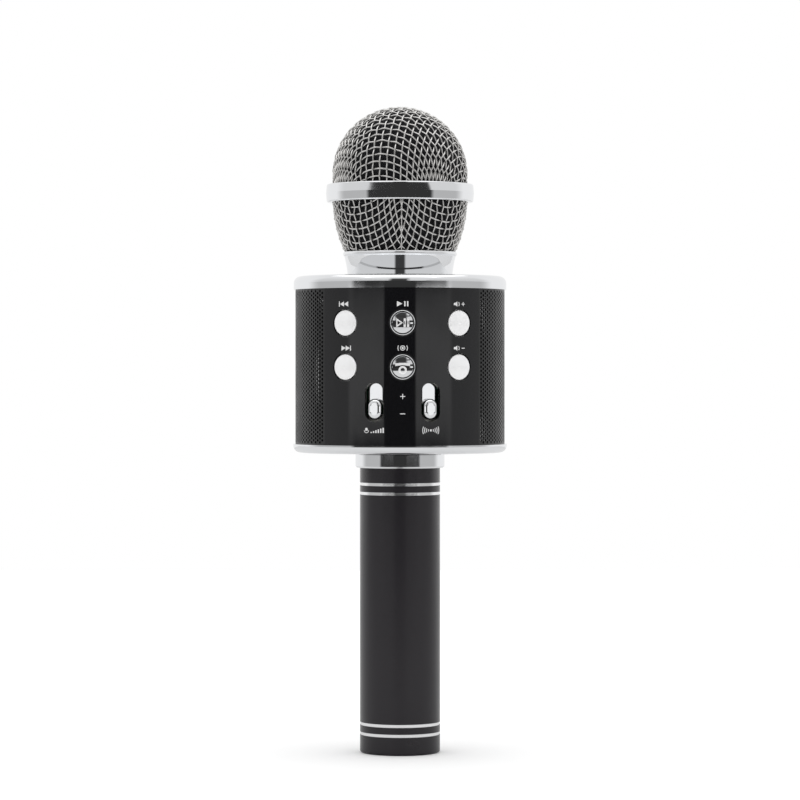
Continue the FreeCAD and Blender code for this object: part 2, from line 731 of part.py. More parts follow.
def make_panels():
    """Glossy front panel with six key holes and two slots, and the rear panel with its openings."""
    angle = "2 * panel_half_angle"
    cutters = []
    for name, (azimuth, level) in KEYS.items():
        placement = aimed(azimuth, f"{PANEL_FOOT} + {level}", "0", f"{PANEL_INSIDE} - panel_wall")
        cutters.append(cylinder(f"{name}_hole", KEY_HOLE_RADIUS, "3 * panel_wall", placement))
    for name, azimuth in SLIDERS.items():
        cutters.append(slot_cutter(f"{name}_slot", azimuth, SLOT_HALF,
                                   f"{SLOT_LOW} + {SLOT_HALF}", f"{SLOT_HIGH} - {SLOT_HALF}"))
    blank = drum_sector("front_blank", "drum_radius", "panel_wall", PANEL_FOOT, PANEL_HEAD, angle, "0")
    keep("front_panel", cut("front_panel", blank, cutters))

    blank = drum_sector("rear_blank", "drum_radius", "panel_wall", PANEL_FOOT, PANEL_HEAD, angle, "180")
    back = f"{PANEL_INSIDE} - panel_wall"
    power = slot_cutter("power_slot", "180", "power_knob_width / 2 + free_gap",
                        f"{POWER_LEVEL} + power_knob_width / 2 - power_knob_height / 2 - free_gap",
                        f"{POWER_LEVEL} + power_travel + power_knob_height / 2"
                        " - power_knob_width / 2 + free_gap")
    jack = cylinder("jack_hole", "jack_nose_radius + slip_fit", "3 * panel_wall",
                    aimed("180", f"{PANEL_FOOT} + jack_height", "0", back))
    usb = aimed_box("usb_hole", "180", "usb_width + 2 * free_gap", "usb_thickness + 2 * free_gap",
                    "3 * panel_wall", f"{PANEL_FOOT} + usb_height", back)
    card = aimed_box("card_hole", "180", "card_width - free_gap", "card_thickness - free_gap",
                     "3 * panel_wall", f"{PANEL_FOOT} + card_height", back)
    keep("rear_panel", cut("rear_panel", blank, [power, jack, usb, card]))


def make_speaker_grilles():
    """Perforated steel screens, one to each side, just inside the line of the panels."""
    angle = "180 - 2 * panel_half_angle - 360 * panel_joint / (pi * drum_radius)"
    for label, azimuth in (("left_speaker_grille", "-90"), ("right_speaker_grille", "90")):
        keep(label, drum_sector(label, "(drum_radius - grille_inset)", "grille_wall", PANEL_FOOT,
                                PANEL_HEAD, angle, azimuth))


# ---------------------------------------------------------------- speakers
def make_speakers():
    """Two small drivers: steel basket, paper cone and magnet, facing out to the sides."""
    rim = "speaker_radius"
    throat = "(speaker_radius - speaker_rim - slip_fit)"
    for side, azimuth in (("left", "-90"), ("right", "90")):
        spot = aimed(azimuth, DRUM_MIDDLE, "0", BAFFLE_FACE)
        keep(f"{side}_speaker_frame", turned(f"{side}_speaker_frame", [
            ("magnet_radius / 2", "-speaker_basket"), ("magnet_radius", "-speaker_basket"),
            (throat, "-baffle_wall"), (throat, "0"), (rim, "0"), (rim, "speaker_flange"),
            (f"{throat} - speaker_rim", "speaker_flange"), (f"{throat} - speaker_rim", "-baffle_wall"),
            ("magnet_radius - speaker_rim", "speaker_rim - speaker_basket"),
            ("magnet_radius / 2", "speaker_rim - speaker_basket")], spot))
        edge = f"({throat} - speaker_rim - slip_fit)"
        keep(f"{side}_speaker_cone", turned(f"{side}_speaker_cone", [
            ("0", "-cone_depth"), ("dust_cap_radius", "-cone_depth"),
            (edge, "0"), (edge, "cone_wall"), ("dust_cap_radius", "cone_wall - cone_depth"),
            ("0", "cone_wall + dust_cap_rise - cone_depth",
             crown("dust_cap_radius", "dust_cap_rise"), 1)], spot))
        keep(f"{side}_speaker_magnet", turned(f"{side}_speaker_magnet", [
            ("0", "-speaker_basket - magnet_depth"), ("magnet_radius", "-speaker_basket - magnet_depth"),
            ("magnet_radius", "-speaker_basket"), ("0", "-speaker_basket")], spot))


# ---------------------------------------------------------------- keys
def make_key_cap(name, azimuth, level):
    """Chrome cap with a stem and a flange behind the panel; the two middle ones have a raised rim."""
    side = f"({BOARD_FACE} + switch_depth + plunger_rise)"
    front = "(drum_radius + key_proud)"
    flange = f"({KEY_HOLE_RADIUS} + key_flange_lap)"
    corners = [("0", side), ("key_stem_radius", side), ("key_stem_radius", KEY_BACK),
               (flange, KEY_BACK), (flange, f"{KEY_BACK} + key_flange"),
               ("key_radius", f"{KEY_BACK} + key_flange")]
    if azimuth == "0":
        floor = f"({front} - key_rim_height)"
        corners += [("key_radius", f"{front} - key_rim_width / 2"),
                    ("key_radius - key_rim_width / 2", front, "key_rim_width / 2", 1),
                    ("key_radius - key_rim_width", front), ("key_radius - key_rim_width", floor),
                    ("0", floor)]
    else:
        corners += [("key_radius", f"{front} - key_crown"),
                    ("0", front, crown("key_radius", "key_crown"), 1)]
    cap = turned(f"{name}_button", corners, aimed(azimuth, f"{PANEL_FOOT} + {level}"))
    keep(f"{name}_button", cap)


def make_keys():
    """Six key caps, the switches under them and each switch's own plunger."""
    switches = []
    for name, (azimuth, level) in KEYS.items():
        height = f"{PANEL_FOOT} + {level}"
        make_key_cap(name, azimuth, level)
        case = aimed_box(f"{name}_switch_case", azimuth, "switch_width", "switch_width", "switch_depth",
                         height, BOARD_FACE)
        well_floor = f"({BOARD_FACE} + switch_depth - plunger_seat - key_travel)"
        well = cylinder(f"{name}_switch_well", "plunger_radius + slip_fit",
                        "plunger_seat + 2 * key_travel", aimed(azimuth, height, "0", well_floor))
        switches.append(cut(f"{name}_switch", case, [well]))
        keep(f"{name}_plunger", cylinder(
            f"{name}_plunger", "plunger_radius", "plunger_seat + plunger_rise",
            aimed(azimuth, height, "0", f"{BOARD_FACE} + switch_depth - plunger_seat")))
    keep("key_switches", group("key_switches", switches))


# ---------------------------------------------------------------- slide controls
def make_slider(name, azimuth):
    """Chrome knob on a shutter that stays behind the panel, with the lever it is pushed on to."""
    back = f"({PANEL_INSIDE} - free_gap * 2 - shutter_wall)"
    body = new_body(f"{name}_knob", aimed(azimuth, KNOB_LEVEL, "0", back))
    half = "shutter_width / 2"
    shutter = stadium(new_sketch(body, "XY_Plane"), half, f"{half} - knob_height / 2",
                      f"shutter_reach - {half}")
    extrude(body, shutter, "shutter_wall")
    knob = stadium(new_sketch(body, "XY_Plane"), "knob_width / 2",
                   "(knob_width - knob_height) / 2", "(knob_height - knob_width) / 2")
    pad = extrude(body, knob, f"drum_radius + knob_proud - {back}")
    doc.recompute()
    top = max(range(len(pad.Shape.Faces)), key=lambda index: pad.Shape.Faces[index].CenterOfMass.z)
    fillet = body.newObject("PartDesign::Fillet", f"{name}_knob_round")
    fillet.Base = (pad, [f"Face{top + 1}"])
    fillet.setExpression("Radius", bound("knob_round"))
    doc.recompute()
    socket = rectangle(new_sketch(body, "XY_Plane"), "-lever_width / 2 - slip_fit",
                       "lever_width / 2 + slip_fit", "-lever_length / 2 - slip_fit",
                       "lever_length / 2 + slip_fit")
    extrude(body, socket, "shutter_wall + lever_seat", "PartDesign::Pocket").Reversed = True
    keep(f"{name}_knob", body)
    lever_foot = f"({BOARD_FACE} + slide_body_depth - lever_seat)"
    keep(f"{name}_lever", aimed_box(f"{name}_lever", azimuth, "lever_width", "lever_length",
                                    f"{back} + shutter_wall + lever_seat - slip_fit - {lever_foot}",
                                    KNOB_LEVEL, lever_foot))


def make_slide_controls():
    """Two slide potentiometers on the board, each with a way for its lever, and what they carry."""
    bodies = []
    middle = f"({SLOT_LOW} + {SLOT_HIGH}) / 2"
    for name, azimuth in SLIDERS.items():
        make_slider(name, azimuth)
        case = aimed_box(f"{name}_slide_case", azimuth, "slide_body_width", "slide_body_length",
                         "slide_body_depth", middle, BOARD_FACE)
        way = aimed_box(f"{name}_slide_way", azimuth, "lever_width + 2 * slip_fit",
                        "slider_travel + lever_length + 2 * free_gap", "2 * lever_seat",
                        f"{KNOB_LEVEL} + slider_travel / 2",
                        f"{BOARD_FACE} + slide_body_depth - lever_seat - slip_fit")
        bodies.append(cut(f"{name}_slide_body", case, [way]))
    keep("slide_controls", group("slide_controls", bodies))


def make_control_board():
    """Thin board bent round the key carrier; the switches and slide controls stand on it."""
    body = new_body("control_board")
    add_sector(body, f"{BOARD_FACE} - board_wall", BOARD_FACE, f"{CHASSIS_FLOOR} + board_margin",
               f"{CHASSIS_CEILING} - board_margin", "0", "2 * board_half_angle")
    keep("control_board", body)


# ---------------------------------------------------------------- rear electronics
POWER_LEVEL = f"({PANEL_FOOT} + power_height)"


def make_main_board():
    """Flat board behind the rear panel, held by four screws."""
    blank = box("main_board_blank", "2 * main_board_half_width",
                "main_board_wall", f"{CHASSIS_CEILING} - {CHASSIS_FLOOR} - 2 * board_margin",
                upright("-main_board_half_width", MAIN_BOARD_BACK, f"{CHASSIS_FLOOR} + board_margin"))
    holes = []
    for row in MOUNT_ROWS:
        for spread in ("-mount_spread", "mount_spread"):
            spot = f"placement(vector({spread}; {MAIN_BOARD_FACE} + overshoot; {row}); rotation(0; 0; 90))"
            holes.append(cylinder("board_hole", "screw_radius", "main_board_wall + 2 * overshoot", spot))
    keep("main_board", cut("main_board", blank, holes))


def make_power_switch():
    """Slide switch on the main board and the ribbed knob that reaches out through the panel."""
    case = aimed_box("power_case", "180", "power_body_width", "power_body_height", "power_body_depth",
                     f"{POWER_LEVEL} + power_travel / 2", MAIN_BOARD_FACE)
    seat = f"({MAIN_BOARD_FACE} + power_body_depth - lever_seat)"
    way = aimed_box("power_way", "180", "lever_width + 2 * slip_fit",
                    "power_travel + lever_length + 2 * free_gap", "2 * lever_seat",
                    f"{POWER_LEVEL} + power_travel / 2", f"{seat} - slip_fit")
    keep("power_switch", cut("power_switch", case, [way]))
    stem = aimed_box("power_stem", "180", "lever_width", "lever_length",
                     f"{PANEL_INSIDE} - {seat}", POWER_LEVEL, seat)
    grip_foot = f"({PANEL_INSIDE} - panel_wall / 2)"
    grip = new_body("power_grip", aimed("180", POWER_LEVEL, "0", grip_foot))
    half = "power_knob_width / 2"
    extrude(grip, stadium(new_sketch(grip, "XY_Plane"), half, f"{half} - power_knob_height / 2",
                          f"power_knob_height / 2 - {half}"),
            f"drum_radius + power_knob_proud - {grip_foot}")
    keep("power_knob", fuse("power_knob", [stem, grip]))


def make_sockets():
    """Audio jack, charging socket and card socket on the main board."""
    reach = f"({PANEL_INSIDE} - free_gap - {MAIN_BOARD_FACE})"
    level = f"{PANEL_FOOT} + jack_height"
    case = aimed_box("jack_case", "180", "jack_body_width", "jack_body_width", reach, level,
                     MAIN_BOARD_FACE)
    nose = cylinder("jack_nose", "jack_nose_radius",
                    f"drum_radius - socket_recess - {MAIN_BOARD_FACE} - jack_nose_set",
                    aimed("180", level, "0", f"{MAIN_BOARD_FACE} + jack_nose_set"))
    bore = cylinder("jack_hole_inside", "jack_bore", f"2 * {reach}",
                    aimed("180", level, "0", f"{MAIN_BOARD_FACE} + jack_nose_set"))
    keep("audio_jack", cut("audio_jack", fuse("jack_blank", [case, nose]), [bore]))

    level = f"{PANEL_FOOT} + usb_height"
    depth = f"(drum_radius - socket_recess - {MAIN_BOARD_FACE})"
    shell = aimed_box("usb_shell", "180", "usb_width", "usb_thickness", depth, level, MAIN_BOARD_FACE)
    room = aimed_box("usb_room", "180", "usb_width - 2 * usb_wall", "usb_thickness - 2 * usb_wall",
                     depth, level, f"{MAIN_BOARD_FACE} + 3 * usb_wall")
    tongue = aimed_box("usb_tongue", "180", "usb_width / 2", "usb_thickness / 4",
                       f"{depth} - 6 * usb_wall", level, f"{MAIN_BOARD_FACE} + usb_wall")
    keep("charging_socket", fuse("charging_socket", [cut("usb_open", shell, [room]), tongue]))

    level = f"{PANEL_FOOT} + card_height"
    inner = f"({PANEL_INSIDE} - free_gap - socket_recess - {MAIN_BOARD_FACE})"
    case = aimed_box("card_case", "180", "card_width", "card_thickness", inner, level,
                     MAIN_BOARD_FACE)
    slit = aimed_box("card_slit", "180", "card_width - card_thickness", "card_slit", inner, level,
                     f"{MAIN_BOARD_FACE} + card_thickness / 2")
    keep("card_socket", cut("card_socket", case, [slit]))


# ---------------------------------------------------------------- upper neck and head
COLLAR_SEAT = f"({COLLAR_RIM} - collar_seat)"
GRILLE_FOOT = f"({COLLAR_RIM} - collar_ledge)"
COUNTERBORE = "(collar_spigot_radius + holder_lap)"


def make_neck_collar():
    """Chrome collar that flares up to a bead, with a spigot through the lid and a nut below it."""
    bead_foot = f"({COLLAR_RIM} - 2 * collar_bead)"
    mouth = "(collar_neck_radius - slip_fit)"
    keep("neck_collar", turned("neck_collar", [
        ("collar_bore", f"{CHASSIS_CEILING} - nut_height"),
        ("collar_spigot_radius", f"{CHASSIS_CEILING} - nut_height"),
        ("collar_spigot_radius", COLLAR_FOOT), ("collar_foot_radius", COLLAR_FOOT),
        ("collar_neck_radius", bead_foot, "collar_curve", -1),
        ("collar_neck_radius", COLLAR_RIM, "collar_bead_curve", 1),
        (mouth, COLLAR_RIM), ("lower_grille_foot_radius + free_gap", GRILLE_FOOT),
        (COUNTERBORE, GRILLE_FOOT), (COUNTERBORE, COLLAR_SEAT),
        ("collar_bore", COLLAR_SEAT)]))
    bore = "(collar_spigot_radius + slip_fit)"
    keep("collar_nut", turned("collar_nut", [
        (bore, f"{CHASSIS_CEILING} - nut_height"), ("nut_radius", f"{CHASSIS_CEILING} - nut_height"),
        ("nut_radius", CHASSIS_CEILING), (bore, CHASSIS_CEILING)]))


RING_LOWER_WEB = f"({HEAD_RING_FOOT} + head_ring_lip)"
RING_UPPER_WEB = f"({HEAD_RING_HEAD} - head_ring_lip)"
GRILLE_RIM_RADIUS = "(collar_neck_radius - rim_gap)"


def make_head():
    """Lower and upper wire grilles and the chrome ring that holds them together."""
    curve = "lower_grille_curve"
    keep("lower_grille", turned("lower_grille", [
        ("lower_grille_foot_radius - mesh_wall", GRILLE_FOOT),
        ("lower_grille_foot_radius", GRILLE_FOOT), (GRILLE_RIM_RADIUS, COLLAR_RIM),
        ("head_radius", RING_LOWER_WEB, curve, 1), (MESH_INSIDE, RING_LOWER_WEB),
        (f"{GRILLE_RIM_RADIUS} - mesh_wall", COLLAR_RIM, curve, -1)]))
    keep("upper_grille", turned("upper_grille", [
        (MESH_INSIDE, RING_UPPER_WEB), ("head_radius", RING_UPPER_WEB), ("head_radius", DOME_CENTRE),
        ("0", f"{DOME_CENTRE} + head_radius", "head_radius", 1),
        ("0", f"{DOME_CENTRE} + {MESH_INSIDE}"), (MESH_INSIDE, DOME_CENTRE, MESH_INSIDE, -1)]))
    face = "(head_radius + head_ring_wall)"
    bore = "(head_radius + slip_fit)"
    keep("head_ring", turned("head_ring", [
        (bore, HEAD_RING_FOOT), (f"{face} - head_ring_edge", HEAD_RING_FOOT),
        (face, f"{HEAD_RING_FOOT} + head_ring_edge", "head_ring_edge", 1),
        (f"{face} + head_ring_ridge", f"{HEAD_RING_FOOT} + head_ring_height / 2"),
        (face, f"{HEAD_RING_HEAD} - head_ring_edge"),
        (f"{face} - head_ring_edge", HEAD_RING_HEAD, "head_ring_edge", 1),
        (bore, HEAD_RING_HEAD), (bore, RING_UPPER_WEB), (MESH_INSIDE, RING_UPPER_WEB),
        (MESH_INSIDE, RING_LOWER_WEB), (bore, RING_LOWER_WEB)]))


CUP_FOOT = f"({COLLAR_SEAT} + holder_foot + holder_column)"
CAPSULE_FOOT = f"({CUP_FOOT} + holder_cup_floor)"
CAPSULE_TOP = f"({CAPSULE_FOOT} + capsule_height)"


def make_capsule():
    """Microphone capsule in its soft holder, and the foam windscreen that lines the head."""
    keep("capsule_holder", turned("capsule_holder", [
        ("holder_bore", COLLAR_SEAT), (f"{COUNTERBORE} - slip_fit", COLLAR_SEAT),
        (f"{COUNTERBORE} - slip_fit", f"{COLLAR_SEAT} + holder_foot"),
        ("holder_column_radius", f"{COLLAR_SEAT} + holder_foot"),
        ("holder_column_radius", CUP_FOOT), ("holder_cup_radius", CUP_FOOT),
        ("holder_cup_radius", f"{CUP_FOOT} + holder_cup"),
        ("capsule_radius + slip_fit", f"{CUP_FOOT} + holder_cup"),
        ("capsule_radius + slip_fit", CAPSULE_FOOT), ("holder_bore", CAPSULE_FOOT)]))
    keep("microphone_capsule", turned("microphone_capsule", [
        ("0", CAPSULE_FOOT), ("capsule_radius", CAPSULE_FOOT),
        ("capsule_radius", f"{CAPSULE_TOP} - capsule_round"),
        ("capsule_radius - capsule_round", CAPSULE_TOP, "capsule_round", 1), ("0", CAPSULE_TOP)]))
    inside = f"({MESH_INSIDE} - foam_gap)"
    foot = f"({GRILLE_FOOT} + foam_gap)"
    keep("foam_windscreen", turned("foam_windscreen", [
        ("foam_bore", foot), ("lower_grille_foot_radius - mesh_wall - foam_gap", foot),
        (f"{GRILLE_RIM_RADIUS} - mesh_wall - foam_gap", COLLAR_RIM),
        (inside, RING_LOWER_WEB, "lower_grille_curve", 1), (inside, DOME_CENTRE),
        ("0", f"{DOME_CENTRE} + {inside}", inside, 1),
        ("0", f"{CAPSULE_TOP} + capsule_headroom"), ("foam_bore", f"{CAPSULE_TOP} + capsule_headroom")]))


# ---------------------------------------------------------------- leads
def lead(stops, bend, radius):
    """Return a round wire along straight runs joined by tangent arcs."""
    points = [Vector(*stop) for stop in stops]
    edges = []
    here = points[0]
    for index in range(1, len(points) - 1):
        corner = points[index]
        arriving = (corner - points[index - 1]).normalize()
        leaving = (points[index + 1] - corner).normalize()
        setback = bend * math.tan(arriving.getAngle(leaving) / 2)
        start = corner - arriving * setback
        end = corner + leaving * setback
        inward = (leaving - arriving).normalize()
        rise = bend / math.cos(arriving.getAngle(leaving) / 2) - bend
        edges.append(Part.LineSegment(here, start).toShape())
        edges.append(Part.Arc(start, corner + inward * rise, end).toShape())
        here = end
    edges.append(Part.LineSegment(here, points[-1]).toShape())
    first_run = points[1] - points[0]
    section = Part.Wire(Part.Circle(points[0], first_run, radius).toShape())
    return Part.Wire(edges).makePipeShell([section], True, True)


def keep_leads(label, routes, bend, radius):
    """Keep one or more leads as one piece each way round."""
    item = doc.addObject("Part::Feature", label)
    solids = [lead(route, bend, radius) for route in routes]
    item.Shape = solids[0] if len(solids) == 1 else Part.makeCompound(solids)
    keep(label, item)


def make_leads():
    """Insulated leads from the battery, the speakers and the capsule to the main board."""
    radius = value("lead_radius")
    bend = value("lead_bend")
    board = value(MAIN_BOARD_BACK)
    way = value("contact_radius + lead_radius + (cradle_wall + lead_radius) / 2")
    start = value(f"{CONTACT_FOOT} + lead_radius / 2")
    turn = value(f"{CHASSIS_FLOOR} + battery_lead_level")
    spread = value("lead_spread")
    keep_leads("battery_leads", [[(x, way, start), (x, way, turn), (x, board, turn)]
                                 for x in (-spread, spread)], bend, radius)
    level = value(DRUM_MIDDLE)
    outer = value(f"{BAFFLE_FACE} - speaker_basket - magnet_depth / 2")
    inner = value("main_board_half_width - speaker_lead_inset")
    rim = value("magnet_radius")
    third = (board - rim) / 3
    keep_leads("speaker_leads", [
        [(side * outer, rim, level), (side * outer, rim + third, level),
         (side * inner, board - third, level), (side * inner, board, level)]
        for side in (-1, 1)], bend / 3, radius)
    turn = value(f"{CHASSIS_CEILING} - capsule_lead_level")
    keep_leads("capsule_lead", [[(0, 0, value(CAPSULE_FOOT)), (0, 0, turn), (0, board, turn)]],
               bend, 2 * radius)


def main():
    """Build the sheet and every piece, check them and write them out."""
    fill_sheet()
    make_handle_tube()
    make_end_cap()
    make_battery()
    make_lower_neck()
    make_bottom_cover()
    make_top_cover()
    make_top_cover_screws()
    make_chassis()
    make_inner_screws()
    make_panels()
    make_speaker_grilles()
    make_speakers()
    make_keys()
    make_slide_controls()
    make_control_board()
    make_main_board()
    make_power_switch()
    make_sockets()
    make_neck_collar()
    make_head()
    make_capsule()
    make_leads()
    doc.recompute()
    write_out()


def write_out():
    """Check every object and write each piece to its own STEP file."""
    for item in doc.Objects:
        if "Invalid" in item.State or "Error" in item.State:
            raise RuntimeError(f"{item.Label} did not build: {item.State}")
    os.makedirs("parts", exist_ok=True)
    for label, item in pieces.items():
        shape = item.Shape
        if shape.isNull() or not shape.isValid() or not shape.Solids:
            raise RuntimeError(f"{label} has no sound solid")
    for label, item in pieces.items():
        item.Shape.exportStep(f"parts/{label}.step")


main()
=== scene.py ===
"""Looks of the hand-held karaoke microphone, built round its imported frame.

Lengths are in metres; the sizes of small pieces are written in millimetres and scaled by MM.
An azimuth is an angle about +Z in degrees, counted from the front (-Y) towards +X.
"""
import logging
import math
from dataclasses import dataclass, field
from enum import Enum
from typing import Callable, ClassVar, Iterator, Optional, Sequence, Union

import bmesh
import bpy
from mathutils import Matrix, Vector, noise


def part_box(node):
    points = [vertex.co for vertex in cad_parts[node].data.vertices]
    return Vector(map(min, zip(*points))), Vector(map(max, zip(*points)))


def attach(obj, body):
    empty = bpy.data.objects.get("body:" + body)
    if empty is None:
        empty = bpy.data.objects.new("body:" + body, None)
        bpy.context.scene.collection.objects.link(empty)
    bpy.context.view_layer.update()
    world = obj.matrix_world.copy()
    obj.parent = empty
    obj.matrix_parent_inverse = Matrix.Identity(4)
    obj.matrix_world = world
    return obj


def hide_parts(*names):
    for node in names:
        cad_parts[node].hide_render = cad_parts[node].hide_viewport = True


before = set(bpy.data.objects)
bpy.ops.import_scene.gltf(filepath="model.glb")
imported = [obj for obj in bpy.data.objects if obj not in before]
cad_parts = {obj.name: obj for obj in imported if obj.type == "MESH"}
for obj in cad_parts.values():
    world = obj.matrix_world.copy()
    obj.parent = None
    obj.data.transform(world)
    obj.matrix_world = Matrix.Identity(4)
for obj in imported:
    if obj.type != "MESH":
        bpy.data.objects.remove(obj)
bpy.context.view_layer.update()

MM = 0.001
SAME_PLACE = 1e-7
LOG = logging.getLogger("karaoke_microphone")
ROOT_BODY = "microphone"
KEYS = ("previous", "scan", "volume_up", "next", "record", "volume_down")
SIDES = ("left", "right")
QUARTERS = (0.0, 90.0, 180.0, 270.0)

Point = tuple[float, float, float]
Flat = tuple[float, float]
Socket = bpy.types.NodeSocket
Operand = Union[Socket, float, Sequence[float]]


def direction(azimuth: float) -> Flat:
    """Return the level unit vector (x, y) that points out along an azimuth in degrees."""
    turn = math.radians(azimuth)
    return math.sin(turn), -math.cos(turn)


def around(azimuth: float, radius: float, height: float) -> Point:
    """Return the point at an azimuth in degrees, a radius and a height."""
    x, y = direction(azimuth)
    return radius * x, radius * y, height


def turns(sides: int) -> list[float]:
    """Return the angles in radians that share a full turn out evenly."""
    return [math.tau * side / sides for side in range(sides)]


def middle_of(*nodes: str) -> tuple[float, float]:
    """Find the middle of the box that some CAD nodes share.

    Args:
        nodes: names of the nodes.

    Returns:
        Its azimuth in degrees and its height.
    """
    boxes = [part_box(node) for node in nodes]
    low = [min(box[0][axis] for box in boxes) for axis in range(3)]
    high = [max(box[1][axis] for box in boxes) for axis in range(3)]
    return math.degrees(math.atan2(low[0] + high[0], -low[1] - high[1])), (low[2] + high[2]) / 2


# ---- shader wiring
class Wiring:
    """Nodes and links of one shader tree."""

    def __init__(self, tree: bpy.types.NodeTree) -> None:
        """Work on a tree."""
        self.tree = tree

    def node(self, kind: str, operands: Optional[dict[str, Operand]] = None,
             **settings: object) -> bpy.types.Node:
        """Add a node.

        Args:
            kind: the node's type.
            operands: what feeds its inputs, by their names.
            settings: its properties, such as operation.

        Returns:
            The new node.
        """
        made = self.tree.nodes.new(kind)
        for label, setting in settings.items():
            setattr(made, label, setting)
        for label, operand in (operands or {}).items():
            self.plug(operand, made.inputs[label])
        return made

    def plug(self, operand: Operand, socket: Socket) -> None:
        """Link a socket to another, or set a constant on it.

        Args:
            operand: the socket that feeds it, or the constant.
            socket: the input socket.
        """
        if isinstance(operand, Socket):
            self.tree.links.new(operand, socket)
        else:
            socket.default_value = operand

    def math(self, operation: str, *operands: Operand) -> Socket:
        """Add a math node.

        Args:
            operation: what it does.
            operands: what it does it to.

        Returns:
            Its result.
        """
        made = self.node("ShaderNodeMath", operation=operation)
        for socket, operand in zip(made.inputs, operands):
            self.plug(operand, socket)
        return made.outputs[0]

    def mix(self, mask: Operand, under: Operand, over: Operand, kind: str = "FLOAT") -> Socket:
        """Go from one value or colour to another with a mask.

        Args:
            mask: how much of the second shows.
            under: the first.
            over: the second.
            kind: FLOAT for values and RGBA for colours.

        Returns:
            What comes out.
        """
        operands = {"Factor": mask, "A": under, "B": over}
        return self.node("ShaderNodeMix", operands, data_type=kind).outputs["Result"]

    def ramp(self, amount: Operand, low: float, high: float, curve: str = "LINEAR") -> Socket:
        """Stretch a range of a value to 0..1.

        Args:
            amount: the value.
            low: what becomes 0.
            high: what becomes 1.
            curve: how it goes from one to the other.

        Returns:
            The stretched value.
        """
        operands = {"Value": amount, "From Min": low, "From Max": high}
        return self.node("ShaderNodeMapRange", operands, interpolation_type=curve).outputs["Result"]

    def noise(self, scale: Operand, detail: float, stretch: Point = (1.0, 1.0, 1.0)) -> Socket:
        """Add noise over the object's own coordinates.

        Args:
            scale: how fine the noise is.
            detail: how many finer layers are added.
            stretch: scale of each axis, to draw the noise out into streaks.

        Returns:
            The noise value.
        """
        place = self.node("ShaderNodeMapping", {"Vector": self.place(), "Scale": stretch}).outputs["Vector"]
        operands = {"Vector": place, "Scale": scale, "Detail": detail}
        return self.node("ShaderNodeTexNoise", operands).outputs["Fac"]

    def place(self) -> Socket:
        """Return the object's own coordinates."""
        return self.node("ShaderNodeTexCoord").outputs["Object"]

    def split(self, vector: Socket) -> bpy.types.bpy_prop_collection:
        """Return a vector's parts, by the names X, Y and Z."""
        return self.node("ShaderNodeSeparateXYZ", {"Vector": vector}).outputs


class Effect(Enum):
    """The shared shader groups, by name."""

    GRAIN = "fine_grain"
    SMUDGES = "handling_smudges"
    DUST = "settled_dust"
    TURNING = "lathe_lines"


class NodeGroup(Wiring):
    """A shared shader group under construction, with named inputs and outputs."""

    def __init__(self, effect: Effect, inputs: dict[str, float], outputs: Sequence[str]) -> None:
        """Create the group and its sockets.

        Args:
            effect: which group it is.
            inputs: value inputs and what they start at.
            outputs: names of the value outputs.
        """
        super().__init__(bpy.data.node_groups.new(effect.value, "ShaderNodeTree"))
        for label, start in inputs.items():
            socket = self.tree.interface.new_socket(label, in_out="INPUT", socket_type="NodeSocketFloat")
            socket.default_value = start
        for label in outputs:
            self.tree.interface.new_socket(label, in_out="OUTPUT", socket_type="NodeSocketFloat")
        self.entry = self.node("NodeGroupInput").outputs
        self.exit = self.node("NodeGroupOutput").inputs


def make_grain() -> bpy.types.NodeTree:
    """Build fine moulded or blasted grain.

    Returns:
        A group with a height, and a value for small colour changes.
    """
    group = NodeGroup(Effect.GRAIN, {"Scale": 4000.0, "Strength": 1.0}, ["Height", "Value"])
    grain = group.noise(group.entry["Scale"], detail=3.0)
    group.plug(group.math("MULTIPLY", grain, group.entry["Strength"]), group.exit["Height"])
    group.plug(grain, group.exit["Value"])
    return group.tree


def make_smudges() -> bpy.types.NodeTree:
    """Build handling marks.

    Returns:
        A group with a roughness that wanders between a low and a high value.
    """
    group = NodeGroup(Effect.SMUDGES, {"Scale": 60.0, "Low": 0.05, "High": 0.12}, ["Roughness"])
    marks = group.ramp(group.noise(group.entry["Scale"], detail=5.0), low=0.38, high=0.68)
    group.plug(group.mix(marks, group.entry["Low"], group.entry["High"]), group.exit["Roughness"])
    return group.tree


def make_dust() -> bpy.types.NodeTree:
    """Build dust that settles on what faces up.

    Returns:
        A group with a mask.
    """
    group = NodeGroup(Effect.DUST, {"Scale": 900.0, "Amount": 0.1}, ["Mask"])
    normal = group.node("ShaderNodeNewGeometry").outputs["Normal"]
    upward = group.math("MAXIMUM", group.split(normal)["Z"], 0.0)
    specks = group.math("POWER", group.noise(group.entry["Scale"], detail=6.0), 3.0)
    settled = group.math("MULTIPLY", specks, upward)
    group.plug(group.math("MULTIPLY", settled, group.entry["Amount"]), group.exit["Mask"])
    return group.tree


def make_turning() -> bpy.types.NodeTree:
    """Build lathe lines round an upright axis.

    Returns:
        A group with a height that changes only with the distance up the part.
    """
    group = NodeGroup(Effect.TURNING, {"Scale": 9000.0, "Strength": 1.0}, ["Height"])
    lines = group.noise(group.entry["Scale"], detail=2.0, stretch=(0.02, 0.02, 1.0))
    group.plug(group.math("MULTIPLY", lines, group.entry["Strength"]), group.exit["Height"])
    return group.tree


EFFECT_MAKERS: dict[Effect, Callable[[], bpy.types.NodeTree]] = {
    Effect.GRAIN: make_grain, Effect.SMUDGES: make_smudges,
    Effect.DUST: make_dust, Effect.TURNING: make_turning}


